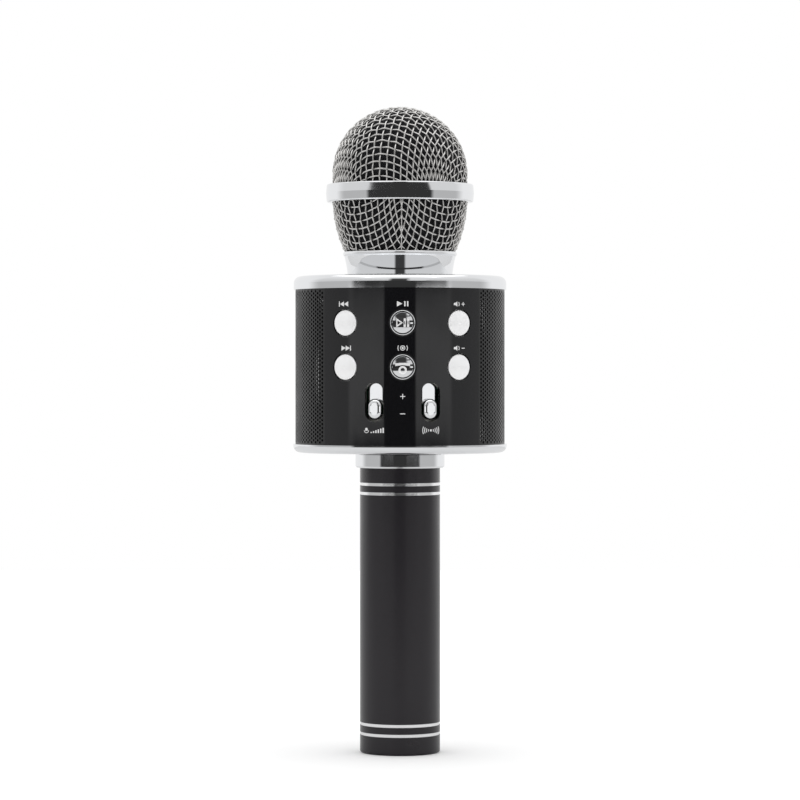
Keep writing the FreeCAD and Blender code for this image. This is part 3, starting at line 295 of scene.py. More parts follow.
class Bench(Wiring):
    """One material under construction round its Principled shader."""

    def __init__(self, name: str, color: Point, roughness: float, metallic: float = 0.0) -> None:
        """Create the material.

        Args:
            name: the material's name.
            color: its base colour.
            roughness: its roughness.
            metallic: how metallic it is.
        """
        self.material = bpy.data.materials.new(name)
        self.material.use_nodes = True
        super().__init__(self.material.node_tree)
        self.sockets = self.tree.nodes["Principled BSDF"].inputs
        self.set(Base_Color=(*color, 1.0), Roughness=roughness, Metallic=metallic)

    def set(self, **operands: Operand) -> None:
        """Feed the shader's sockets, each named with underscores for its spaces."""
        for label, operand in operands.items():
            self.plug(operand, self.sockets[label.replace("_", " ")])

    def effect(self, effect: Effect, output: str, **inputs: float) -> Socket:
        """Place a shared group with its own input values.

        Args:
            effect: which group.
            output: the name of the output that is wanted.
            inputs: its input values.

        Returns:
            The output.
        """
        group = bpy.data.node_groups.get(effect.value) or EFFECT_MAKERS[effect]()
        return self.node("ShaderNodeGroup", inputs, node_tree=group).outputs[output]

    def bump(self, height: Socket, depth: float) -> None:
        """Feed the shader's normal from a height.

        Args:
            height: the height.
            depth: how deep the relief is, in metres.
        """
        made = self.node("ShaderNodeBump", {"Distance": depth, "Height": height})
        self.set(Normal=made.outputs["Normal"])

    def tinted(self, mask: Socket, color: Point, spread: float) -> Socket:
        """Return a colour that goes a share darker and lighter with a mask."""
        shades = [(*(channel * (1.0 + side * spread) for channel in color), 1.0) for side in (-1, 1)]
        return self.mix(mask, *shades, kind="RGBA")


# ---- finishes
@dataclass(frozen=True)
class SurfaceFinish:
    """Moulded or painted surface: base colour, grain, handling marks and a little dust."""

    name: str
    color: Point
    low: float
    high: float
    grain: float = 0.00001
    grain_scale: float = 3500.0
    variation: float = 0.25
    smudge_scale: float = 70.0
    dust: float = 0.08
    dust_scale: float = 1200.0
    dust_color: Point = (0.3, 0.29, 0.27)
    metallic: float = 0.0

    def build(self) -> bpy.types.Material:
        """Build the material.

        Returns:
            The material.
        """
        bench = Bench(self.name, self.color, self.low, self.metallic)
        bench.bump(bench.effect(Effect.GRAIN, "Height", Scale=self.grain_scale), self.grain)
        tint: Operand = (*self.color, 1.0)
        if self.variation:
            grain = bench.effect(Effect.GRAIN, "Value", Scale=self.grain_scale)
            tint = bench.tinted(grain, self.color, self.variation)
        dust = bench.effect(Effect.DUST, "Mask", Scale=self.dust_scale, Amount=self.dust)
        limits = {"Low": self.low, "High": self.high}
        bench.set(Base_Color=bench.mix(dust, tint, (*self.dust_color, 1.0), kind="RGBA"),
                  Roughness=bench.effect(Effect.SMUDGES, "Roughness", Scale=self.smudge_scale, **limits))
        return bench.material


@dataclass(frozen=True)
class MetalFinish(SurfaceFinish):
    """Bare or plated metal of one colour: chrome, steel wire, zinc screws."""

    grain: float = 0.000001
    grain_scale: float = 6000.0
    variation: float = 0.0
    smudge_scale: float = 45.0
    dust: float = 0.05
    dust_scale: float = 1400.0
    dust_color: Point = (0.5, 0.49, 0.47)
    metallic: float = 1.0


@dataclass(frozen=True)
class BandedTubeFinish:
    """Black anodised tube whose turned bands show bright metal."""

    name: str
    color: Point
    bright: Point
    band: float
    bands: tuple[float, ...]
    low: float = 0.2
    high: float = 0.28
    turned: float = 0.12
    shine: float = 0.45
    grain: float = 0.000004

    def build(self) -> bpy.types.Material:
        """Build the material.

        Returns:
            The material.
        """
        bench = Bench(self.name, self.color, self.low)
        height = bench.split(bench.place())["Z"]
        mask: Operand = 0.0
        for foot in self.bands:
            off = bench.math("SUBTRACT", height, foot + self.band / 2)
            inside = bench.math("LESS_THAN", bench.math("ABSOLUTE", off), self.band / 2)
            mask = bench.math("MAXIMUM", mask, inside)
        tint = bench.tinted(bench.effect(Effect.GRAIN, "Value", Scale=5000.0), self.color, spread=0.22)
        marks = bench.effect(Effect.SMUDGES, "Roughness", Scale=40.0, Low=self.low, High=self.high)
        bench.set(Base_Color=bench.mix(mask, tint, (*self.bright, 1.0), kind="RGBA"), Metallic=mask,
                  Roughness=bench.mix(mask, marks, self.turned), Specular_IOR_Level=self.shine)
        bench.bump(bench.effect(Effect.TURNING, "Height", Scale=9000.0), self.grain)
        return bench.material


@dataclass(frozen=True)
class FoamFinish:
    """Open-cell foam: dark, rough and pitted with small cells."""

    name: str
    color: Point
    cells: float = 1100.0
    roughness: float = 0.95
    variation: float = 0.7
    shine: float = 0.15
    pits: float = 0.0003

    def build(self) -> bpy.types.Material:
        """Build the material.

        Returns:
            The material.
        """
        bench = Bench(self.name, self.color, self.roughness)
        operands = {"Scale": self.cells, "Vector": bench.place()}
        walls = bench.node("ShaderNodeTexVoronoi", operands).outputs["Distance"]
        bench.set(Base_Color=bench.tinted(walls, self.color, self.variation), Specular_IOR_Level=self.shine)
        bench.bump(walls, self.pits)
        return bench.material


Finish = Union[SurfaceFinish, BandedTubeFinish, FoamFinish]

CHROME = MetalFinish("bright_chrome", (0.86, 0.87, 0.885), 0.012, 0.04, grain=0.0)
# Pearl chrome of four keys; the raised signs of the scan and record keys get it too, near white as a painted
# highlight for their chrome edges catching the light.
PEARL_AND_PAINTED_HIGHLIGHT = MetalFinish("pearl_chrome_and_painted_highlight", (0.97, 0.97, 0.975), 0.2, 0.26, metallic=0.2, dust=0.0)
WIRE = MetalFinish("woven_steel", (0.64, 0.63, 0.615), 0.18, 0.28, grain=0.000004)
ZINC = MetalFinish("plated_steel", (0.62, 0.61, 0.58), 0.25, 0.4, grain=0.00001)
SPEAKER_STEEL = SurfaceFinish("speaker_steel", (0.05, 0.05, 0.052), 0.3, 0.45)
GLOSS = SurfaceFinish("gloss_black", (0.006, 0.006, 0.007), 0.045, 0.075, grain=0.0000004,
                      variation=0.05, dust=0.015)
MATTE = SurfaceFinish("black_plastic", (0.028, 0.028, 0.03), 0.42, 0.6)
GRILLE = SurfaceFinish("black_grille", (0.006, 0.006, 0.0065), 0.28, 0.4, grain=0.000006)
PAPER = SurfaceFinish("speaker_cone", (0.04, 0.04, 0.042), 0.75, 0.9, grain=0.00004, grain_scale=2500.0)
MAGNET = SurfaceFinish("magnet", (0.11, 0.11, 0.12), 0.6, 0.8, grain=0.00003)
SWITCH = SurfaceFinish("switch_black", (0.05, 0.05, 0.055), 0.4, 0.55)
BOARD = SurfaceFinish("green_board", (0.03, 0.14, 0.07), 0.3, 0.42, grain=0.000008)
CELL = SurfaceFinish("cell_wrap", (0.05, 0.16, 0.42), 0.2, 0.32, grain=0.000005)
RUBBER = SurfaceFinish("soft_rubber", (0.035, 0.035, 0.036), 0.7, 0.85, grain=0.00002)
LEAD = SurfaceFinish("lead_jacket", (0.25, 0.03, 0.03), 0.45, 0.6)
INK = SurfaceFinish("legend_ink", (0.78, 0.78, 0.78), 0.5, 0.6, grain=0.000003, variation=0.04, dust=0.0)
FOAM = FoamFinish("dark_foam", (0.02, 0.02, 0.022))


def material_of(finish: Finish) -> bpy.types.Material:
    """Return a finish's material, built the first time it is asked for.

    Args:
        finish: the finish.

    Returns:
        Its material.
    """
    name = f"{finish.name}_finish"
    material = bpy.data.materials.get(name)
    if material is None:
        material = finish.build()
        material.name = name
    return material


def coat(mesh: bpy.types.Mesh, finish: Finish, smooth: float) -> None:
    """Give a mesh its finish and smooth shading.

    Args:
        mesh: the mesh.
        finish: its finish.
        smooth: edges sharper than this many degrees stay sharp.
    """
    mesh.materials.clear()
    mesh.materials.append(material_of(finish))
    mesh.shade_smooth()
    mesh.set_sharp_from_angle(angle=math.radians(smooth))


# ---- pieces
@dataclass
class Shape:
    """Points and faces of a piece under construction."""

    points: list[Point] = field(default_factory=list)
    faces: list[list[int]] = field(default_factory=list)

    def skin(self, rings: Sequence[Sequence[Point]]) -> None:
        """Add a closed skin over rings of points, each ring as long as the others.

        Args:
            rings: the rings in order, anticlockwise as seen from the end where they stop.
        """
        first, sides = len(self.points), len(rings[0])
        for ring in rings:
            self.points.extend(tuple(point) for point in ring)
        for level in range(first, first + (len(rings) - 1) * sides, sides):
            for side in range(sides):
                here, after = level + side, level + (side + 1) % sides
                self.faces.append([here, after, after + sides, here + sides])
        last = first + (len(rings) - 1) * sides
        self.faces.append([first + side for side in reversed(range(sides))])
        self.faces.append([last + side for side in range(sides)])

    def tube(self, line: Sequence[tuple[Vector, Vector]], radii: Sequence[float], sides: int) -> None:
        """Sweep a round section along a line.

        Args:
            line: points with a normal each, in order.
            radii: the section's radius at each point.
            sides: how many sides the section has.
        """
        rings = []
        for index, (point, normal) in enumerate(line):
            tangent = (line[min(index + 1, len(line) - 1)][0] - line[max(index - 1, 0)][0]).normalized()
            up = tangent.cross(normal).normalized()
            side = up.cross(tangent)
            rings.append([point + (side * math.cos(turn) + up * math.sin(turn)) * radii[index]
                          for turn in turns(sides)])
        self.skin(rings)

    def mesh(self, name: str) -> bpy.types.Mesh:
        """Turn the shape into a mesh.

        Args:
            name: the mesh's name, and its piece's.

        Returns:
            The mesh.
        """
        mesh = bpy.data.meshes.new(name)
        mesh.from_pydata(self.points, [], self.faces)
        return mesh


def show_mesh(mesh: bpy.types.Mesh, finish: Finish, slot: Optional[str], smooth: float,
              body: str = ROOT_BODY) -> bpy.types.Object:
    """Finish a mesh and put it in the scene.

    Args:
        mesh: the mesh, named as the piece will be.
        finish: its finish.
        slot: the record's material slot that it stands for, or None for print; it is not used.
        smooth: edges sharper than this many degrees stay sharp.
        body: the CAD body that it rides on.

    Returns:
        The new object.
    """
    coat(mesh, finish, smooth)
    piece = bpy.data.objects.new(mesh.name, mesh)
    bpy.context.scene.collection.objects.link(piece)
    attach(piece, body)
    LOG.info("made %s: %d faces on %s", piece.name, len(mesh.polygons), body)
    return piece


class SubAssembly:
    """Pieces of the microphone that are built and dressed together."""

    dressed: ClassVar[dict[str, Finish]] = {}
    keep_edges: ClassVar[float] = 28.0

    def dress(self) -> None:
        """Give every CAD piece that keeps its shape its finish."""
        for node, finish in self.dressed.items():
            coat(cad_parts[node].data, finish, self.keep_edges)

    def make(self) -> None:
        """Make the pieces that the CAD shows only in outline; there are none by default."""

    def build(self) -> None:
        """Dress and make every piece, and report them."""
        self.dress()
        self.make()
        LOG.info("%s: dressed %s", type(self).__name__, ", ".join(self.dressed) or "nothing of the CAD")


# ---- handle, necks and drum
@dataclass
class Handle(SubAssembly):
    """Turned tube with four bright bands, its end cap, and the battery inside."""

    dressed = {"end_cap": MATTE, "battery_cradle": MATTE, "battery_cell": CELL, "battery_contact": ZINC,
               "battery_spring": ZINC, "battery_leads": LEAD}

    band: float = 1.1 * MM
    bands: tuple[float, ...] = (6.9 * MM, 10.6 * MM, 97.8 * MM, 101.3 * MM)
    color: Point = (0.0105, 0.0085, 0.0115)
    bright: Point = (0.92, 0.92, 0.93)

    def dress(self) -> None:
        """Dress the battery's pieces, and the tube in a finish that knows where its bands are."""
        tube = BandedTubeFinish("black_anodised", self.color, self.bright, self.band, self.bands)
        self.dressed = {**type(self).dressed, "handle_tube": tube}
        super().dress()


class Necks(SubAssembly):
    """The ring over the handle, its adapter, and the collar with its nut under the head."""

    dressed = {"lower_neck_ring": CHROME, "neck_adapter": MATTE, "neck_collar": CHROME, "collar_nut": ZINC}


class Drum(SubAssembly):
    """The chassis between its two chrome covers, with its screws and both gloss panels."""

    dressed = {"bottom_cover": CHROME, "top_cover": CHROME, "top_cover_screws": ZINC, "inner_screws": ZINC,
               "drum_chassis": MATTE, "front_panel": GLOSS, "rear_panel": GLOSS}


class RearControls(SubAssembly):
    """The power switch, the sockets and the main board behind the rear panel."""

    dressed = {"main_board": BOARD, "power_switch": ZINC, "power_knob": MATTE, "audio_jack": MATTE,
               "charging_socket": ZINC, "card_socket": ZINC}


class Sliders(SubAssembly):
    """The two slide controls with their levers and chrome knobs."""

    dressed = {"slide_controls": ZINC, "mic_volume_knob": CHROME, "effect_knob": CHROME,
               "mic_volume_lever": SWITCH, "effect_lever": SWITCH}


# ---- speakers
@dataclass
class Speakers(SubAssembly):
    """A driver at each side behind curved steel screens with staggered round holes."""

    dressed = {**{f"{side}_speaker_{part}": finish for side in SIDES
                  for part, finish in (("frame", SPEAKER_STEEL), ("cone", PAPER), ("magnet", MAGNET))},
               "speaker_leads": LEAD}

    pitch: float = 1.52 * MM
    hole: float = 0.5 * MM
    border: float = 0.62 * MM
    sheet: float = 0.6 * MM

    def make(self) -> None:
        """Punch both screens."""
        for side, azimuth in zip(SIDES, (-90.0, 90.0)):
            node = f"{side}_speaker_grille"
            sheet = self.screen(node, azimuth).mesh(f"{node}_sheet")
            screen = show_mesh(sheet, GRILLE, GRILLE.name, smooth=40.0)
            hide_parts(node)

    def screen(self, node: str, azimuth: float) -> Shape:
        """Punch one screen.

        Args:
            node: the CAD sheet that it stands for.
            azimuth: where its middle lies, in degrees.

        Returns:
            The screen, closed round its edges.
        """
        low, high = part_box(node)
        outer = max(abs(low.x), abs(high.x))
        half = outer * math.asin(high.y / outer)
        tall = (high.z - low.z) / 2
        shape = Shape()
        numbers: dict[tuple[int, int, int], int] = {}

        def number(place: Flat, layer: int) -> int:
            """Number a point of the sheet, so that cells that meet share it.

            Args:
                place: where it is, across and up from the middle.
                layer: 0 for the front of the sheet, 1 for its back.

            Returns:
                Its number.
            """
            key = (round(place[0] / SAME_PLACE), round(place[1] / SAME_PLACE), layer)
            if key not in numbers:
                numbers[key] = len(shape.points)
                turn = azimuth + math.degrees(place[0] / outer)
                shape.points.append(around(turn, outer - layer * self.sheet, low.z + tall + place[1]))
            return numbers[key]

        step = self.pitch * math.sqrt(3) / 2
        columns, rows = int(half / step) + 1, int(tall / self.pitch) + 1
        for column in range(-columns, columns + 1):
            for row in range(-rows, rows + 1):
                centre = (column * step, (row + (column % 2) / 2) * self.pitch)
                punched = abs(centre[0]) < half - self.border and abs(centre[1]) < tall - self.border
                self.add_cell(shape, number, centre, (half, tall), punched)
        used = {pair for face in shape.faces for pair in zip(face, face[1:] + face[:1])}
        behind = {front: numbers[key[0], key[1], 1] for key, front in numbers.items() if key[2] == 0}
        for here, after in sorted(used):
            if (after, here) not in used and here in behind:
                shape.faces.append([after, here, behind[here], behind[after]])
        return shape

    def add_cell(self, shape: Shape, number: Callable[[Flat, int], int], centre: Flat, reach: Flat,
                 punched: bool) -> None:
        """Add one six-sided cell to both sides of a screen.

        Args:
            shape: the screen.
            number: gives the number of a point on its front or back.
            centre: the cell's middle.
            reach: how far the screen goes across and up from its own middle.
            punched: whether the cell has its hole.
        """
        rim = self.clipped(self.hexagon(centre), reach)
        if not punched:
            for layer in (0, 1):
                ring = list(dict.fromkeys(number(place, layer) for place in rim))
                if len(ring) > 2:
                    shape.faces.append(ring[::-1] if layer else ring)
            return
        bearings = [math.atan2(place[1] - centre[1], place[0] - centre[0]) for place in rim]
        hole = [(centre[0] + math.cos(turn) * self.hole, centre[1] + math.sin(turn) * self.hole)
                for turn in bearings]
        for index, place in enumerate(rim):
            after = (index + 1) % len(rim)
            around_hole = [place, rim[after], hole[after], hole[index]]
            shape.faces.append([number(corner, 0) for corner in around_hole])
            shape.faces.append([number(corner, 1) for corner in reversed(around_hole)])
            shape.faces.append([number(hole[index], 0), number(hole[after], 0),
                                number(hole[after], 1), number(hole[index], 1)])

    def hexagon(self, centre: Flat) -> list[Flat]:
        """Outline a cell, with a point in the middle of each of its six sides.

        Args:
            centre: the cell's middle.

        Returns:
            Its rim.
        """
        tips = [(math.cos(math.radians(60 * tip)), math.sin(math.radians(60 * tip))) for tip in range(7)]
        size = self.pitch / math.sqrt(3)
        return [(centre[0] + size * ((1 - part) * here[0] + part * after[0]),
                 centre[1] + size * ((1 - part) * here[1] + part * after[1]))
                for here, after in zip(tips, tips[1:]) for part in (0.0, 0.5)]

    def clipped(self, rim: list[Flat], reach: Flat) -> list[Flat]:
        """Cut a rim off at the four edges of the screen.

        Args:
            rim: the rim's points in order.
            reach: how far the screen goes across and up from its middle.

        Returns:
            What is left of it, which may be nothing.
        """
        for axis in (0, 1):
            for side in (-1, 1):
                kept = []
                for here, after in zip(rim, rim[1:] + rim[:1]):
                    inside = reach[axis] - side * here[axis]
                    beyond = reach[axis] - side * after[axis]
                    if inside >= 0:
                        kept.append(here)
                    if inside * beyond < 0:
                        part = inside / (inside - beyond)
                        kept.append(tuple(here[k] + (after[k] - here[k]) * part for k in (0, 1)))
                rim = kept
        return rim


# ---- woven wire head
@dataclass
class Meridian:
    """Half outline of a turned surface, by distance walked from its pole.

    Each stretch is (length, start radius, start height, start heading, curvature); the heading is the
    angle of the walk in radians, 0 along +radius and positive upwards.
    """

    stretches: list[tuple[float, float, float, float, float]]

    def add(self, length: float, curvature: float) -> None:
        """Go on from the end of the last stretch."""
        start = self.at(sum(stretch[0] for stretch in self.stretches))
        self.stretches.append((length, *start, curvature))

    def at(self, walked: float) -> tuple[float, float, float]:
        """Follow the outline.

        Args:
            walked: distance from the pole.

        Returns:
            Radius, height and heading there.
        """
        left = walked
        for length, radius, height, heading, curvature in self.stretches:
            if left <= length:
                break
            left -= length
        else:
            left += length
        turned = heading + curvature * left
        if abs(curvature) < 1e-9:
            return radius + left * math.cos(heading), height + left * math.sin(heading), heading
        return (radius + (math.sin(turned) - math.sin(heading)) / curvature,
                height - (math.cos(turned) - math.cos(heading)) / curvature, turned)


Strand = list[tuple[float, float, float]]


@dataclass
class WovenNet:
    """Flat wire cloth pressed over a turned form: a mesh keeps its sides and only its angles change.

    A dart at each corner of the cloth takes up a share of what is too much of it; without darts the
    cloth takes all of it by shearing.
    """

    meridian: Meridian
    reach: float
    first_azimuth: float
    outward: float
    start: float = 0.0
    dart: float = 0.0
    pitch: float = 2.75 * MM
    wire: float = 0.31 * MM
    steps: int = 5
    sides: int = 8
    corner: float = 45.0
    tries: int = 40

    def bearing(self, u: float, v: float) -> float:
        """Turn a place on the cloth into an azimuth.

        Args:
            u: distance walked along the warp from the pole.
            v: distance walked along the weft.

        Returns:
            The azimuth in degrees, from the cloth's first.
        """
        walked = math.hypot(u, v)
        spare = walked / max(self.meridian.at(walked)[0], 1e-9) - 1.0
        return math.degrees(math.atan2(v, u)) * (1.0 + self.dart * max(spare, 0.0))

    def place(self, u: float, v: float, turn: float = 0.0) -> Point:
        """Return the point of the form at a walk of (u, v) from its pole."""
        radius, height, _heading = self.meridian.at(math.hypot(u, v))
        return around(self.first_azimuth + turn + self.bearing(u, v), radius, height)

    def normal(self, azimuth: float, walked: float) -> Vector:
        """Return the outward normal at an azimuth in degrees and a distance from the pole."""
        heading = self.meridian.at(walked)[2]
        return Vector(around(azimuth, math.sin(heading), -math.cos(heading))) * self.outward

    def solve(self, behind: Point, beside: Point, guess: Flat) -> Optional[Flat]:
        """Find the crossing that is one pitch from two others.

        Args:
            behind: the crossing one step back along the warp.
            beside: the crossing one step back along the weft.
            guess: where to start looking.

        Returns:
            The crossing's place, or None where the cloth can't be pressed any further.
        """
        u, v = guess
        nudge, close_enough, side_by_side = self.pitch * 1e-4, self.pitch * 1e-6, 1e-3
        for _ in range(self.tries):
            here, along, across = self.place(u, v), self.place(u + nudge, v), self.place(u, v + nudge)
            reach = (math.dist(here, behind), math.dist(here, beside))
            miss = (reach[0] - self.pitch, reach[1] - self.pitch)
            if max(abs(miss[0]), abs(miss[1])) < close_enough:
                return u, v
            a, b = ((math.dist(moved, behind) - reach[0]) / nudge for moved in (along, across))
            c, d = ((math.dist(moved, beside) - reach[1]) / nudge for moved in (along, across))
            spread = a * d - b * c
            if abs(spread) < side_by_side:
                return None
            step = ((d * miss[0] - b * miss[1]) / spread, (a * miss[1] - c * miss[0]) / spread)
            slow = min(1.0, 0.5 * self.pitch / max(math.hypot(*step), 1e-12))
            u, v = u - step[0] * slow, v - step[1] * slow
        return None

    def crossings(self) -> dict[tuple[int, int], Flat]:
        """Lay out the crossings of one quarter of the cloth.

        Returns:
            The place of each crossing, by its number along the warp and the weft.
        """
        count = int(self.reach / self.pitch) + 3
        nodes: dict[tuple[int, int], Flat] = {(0, 0): (0.0, 0.0)}
        for index in range(1, count):
            nodes[index, 0] = (index * self.pitch, 0.0)
            nodes[0, index] = (0.0, index * self.pitch)
        for total in range(2, 2 * count):
            for i in range(max(1, total - count + 1), min(total, count)):
                j = total - i
                corner, back, side = (nodes.get(key) for key in ((i - 1, j - 1), (i - 1, j), (i, j - 1)))
                if corner and back and side:
                    guess = (back[0] + side[0] - corner[0], back[1] + side[1] - corner[1])
                    found = self.solve(self.place(*back), self.place(*side), guess)
                    if found and math.hypot(*found) < self.reach + 2 * self.pitch:
                        nodes[i, j] = found
        return nodes

    def strands(self) -> Iterator[Strand]:
        """Follow each wire.

        Yields:
            One wire's crossings as (u, v, side), side being the face of the cloth that it passes on.
        """
        quarter = self.crossings()
        count = max(i for i, _ in quarter) + 1
        first = 0 if self.dart else -count
        for weft in (False, True):
            for fixed in range(first if weft else -count, count + 1):
                run: Strand = []
                for moving in range(-count if weft else first, count + 1):
                    i, j = (fixed, moving) if weft else (moving, fixed)
                    node = quarter.get((abs(i), abs(j)))
                    if node:
                        side = 1.0 if (i + j + weft) % 2 else -1.0
                        run.append((math.copysign(node[0], i), math.copysign(node[1], j), side))
                    if (node is None or moving == count) and run:
                        yield run
                        run = []

    def line(self, run: Strand, turn: float) -> Iterator[list[tuple[Vector, Vector]]]:
        """Follow the middle of one wire where it lies on the form and inside the darts.

        Args:
            run: the wire's crossings.
            turn: how far the cloth is turned, in degrees.

        Yields:
            Points with their normals, in order.
        """
        path: list[tuple[Vector, Vector]] = []
        for here, after in zip(run, run[1:]):
            for step in range(self.steps):
                part = step / self.steps
                u = here[0] + (after[0] - here[0]) * part
                v = here[1] + (after[1] - here[1]) * part
                walked, bearing = math.hypot(u, v), self.bearing(u, v)
                if self.start <= walked <= self.reach and (not self.dart or abs(bearing) < self.corner + 1.0):
                    normal = self.normal(self.first_azimuth + turn + bearing, walked)
                    lift = here[2] * math.cos(math.pi * part) * self.wire
                    path.append((Vector(self.place(u, v, turn)) + normal * lift, normal))
                else:
                    if len(path) > 2:
                        yield path
                    path = []
        if len(path) > 2:
            yield path

    def weave(self) -> Shape:
        """Weave the cloth.

        Returns:
            Its wires.
        """
        shape = Shape()
        for run in self.strands():
            for turn in QUARTERS if self.dart else QUARTERS[:1]:
                for path in self.line(run, turn):
                    shape.tube(path, [self.wire] * len(path), self.sides)
        return shape

    def sew(self, shape: Shape, share: float, wire: float, knot: float) -> None:
        """Add a wire with knots along each dart.

        Args:
            shape: the cloth's wires, to which it is added.
            share: how far up the form the dart goes.
            wire: the wire's radius.
            knot: how much thicker it is at a knot.
        """
        count = 60
        walks = [self.start + (self.reach - self.start) * share * step / count for step in range(count + 1)]
        for turn in QUARTERS:
            azimuth = self.first_azimuth + (self.corner + turn)
            path, radii = [], []
            for walked in walks:
                radius, height, _heading = self.meridian.at(walked)
                normal = self.normal(azimuth, walked)
                path.append((Vector(around(azimuth, radius, height)) + normal * self.wire, normal))
                swell = max(0.0, math.cos(math.tau * walked / (self.pitch * math.sqrt(2)))) ** 6
                radii.append(wire + knot * swell)
            shape.tube(path, radii, self.sides)


@dataclass
class Head(SubAssembly):
    """Ball head: two pressed wire grilles, the ring between them, and what they hold."""

    dressed = {"head_ring": CHROME, "microphone_capsule": ZINC, "capsule_holder": RUBBER,
               "capsule_lead": LEAD}

    wall: float = 0.63 * MM
    wall_curve: float = 50.5 * MM
    corner: float = 3.0 * MM
    overlap: float = 1.0 * MM
    bowl_overlap: float = 1.2 * MM
    dome_azimuth: float = -19.0
    bowl_azimuth: float = 45.0
    bowl_dart: float = 0.75
    seam_share: float = 0.78
    seam: float = 0.22 * MM
    knot: float = 0.3 * MM
    foam_edge: float = 2.5 * MM
    foam_dent: float = 0.12 * MM
    foam_pits: float = 700.0

    def make(self) -> None:
        """Press both grilles and line them with foam."""
        for node, net in (("upper", self.dome()), ("lower", self.bowl())):
            cloth = net.weave()
            if net.dart:
                net.sew(cloth, self.seam_share, self.seam, self.knot)
            piece = show_mesh(cloth.mesh(f"{node}_wire_grille"), WIRE, WIRE.name, smooth=80.0)
            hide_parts(f"{node}_grille")
        self.make_foam()

    def dome(self) -> WovenNet:
        """Lay out the upper grille, from its crown down to the ring.

        Returns:
            Its cloth.
        """
        _low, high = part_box("upper_grille")
        radius = high.x - self.wall
        meridian = Meridian([(radius * math.pi / 2, 0.0, high.z - self.wall, 0.0, -1.0 / radius)])
        meridian.add(2 * radius, 0.0)
        straight = high.z - high.x - (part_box("head_ring")[1].z - self.overlap)
        return WovenNet(meridian, radius * math.pi / 2 + straight, self.dome_azimuth, -1.0)

    def bowl(self) -> WovenNet:
        """Lay out the lower grille: a flat foot, a tight corner and a gently curved wall.

        Returns:
            Its cloth.
        """
        _low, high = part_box("lower_grille")
        curve = self.wall_curve - self.wall
        drop = high.z - (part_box("neck_collar")[1].z - self.bowl_overlap)
        lean = math.asin(drop / curve)
        foot = high.x - self.wall - curve + (curve - self.corner) * math.cos(lean)
        bend = self.corner * (math.pi / 2 - lean)
        level = high.z - drop + self.corner * (math.sin(lean) - 1.0)
        meridian = Meridian([(foot, 0.0, level, 0.0, 0.0)])
        meridian.add(bend, 1.0 / self.corner)
        meridian.add(curve * lean, 1.0 / curve)
        return WovenNet(meridian, foot + bend + curve * lean, self.bowl_azimuth, 1.0,
                        start=foot + 0.6 * bend, dart=self.bowl_dart)

    def make_foam(self) -> None:
        """Line the grilles with foam that follows its CAD outline and is pitted all over."""
        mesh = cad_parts["foam_windscreen"].data.copy()
        mesh.name = "foam_liner"
        work = bmesh.new()
        work.from_mesh(mesh)
        bmesh.ops.remove_doubles(work, verts=work.verts, dist=1e-7)
        bmesh.ops.triangulate(work, faces=work.faces)
        for _ in range(5):
            long_edges = [edge for edge in work.edges if edge.calc_length() > self.foam_edge]
            bmesh.ops.subdivide_edges(work, edges=long_edges, cuts=1)
            bmesh.ops.triangulate(work, faces=[face for face in work.faces if len(face.verts) > 3])
        work.normal_update()
        for vertex in work.verts:
            vertex.co -= vertex.normal * self.foam_dent * (1.0 + noise.noise(vertex.co * self.foam_pits))
        work.to_mesh(mesh)
        work.free()
        liner = show_mesh(mesh, FOAM, FOAM.name, smooth=180.0)
        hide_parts("foam_windscreen")


# ---- printed and raised marks
STROKE = 0.26
HALF = 0.95


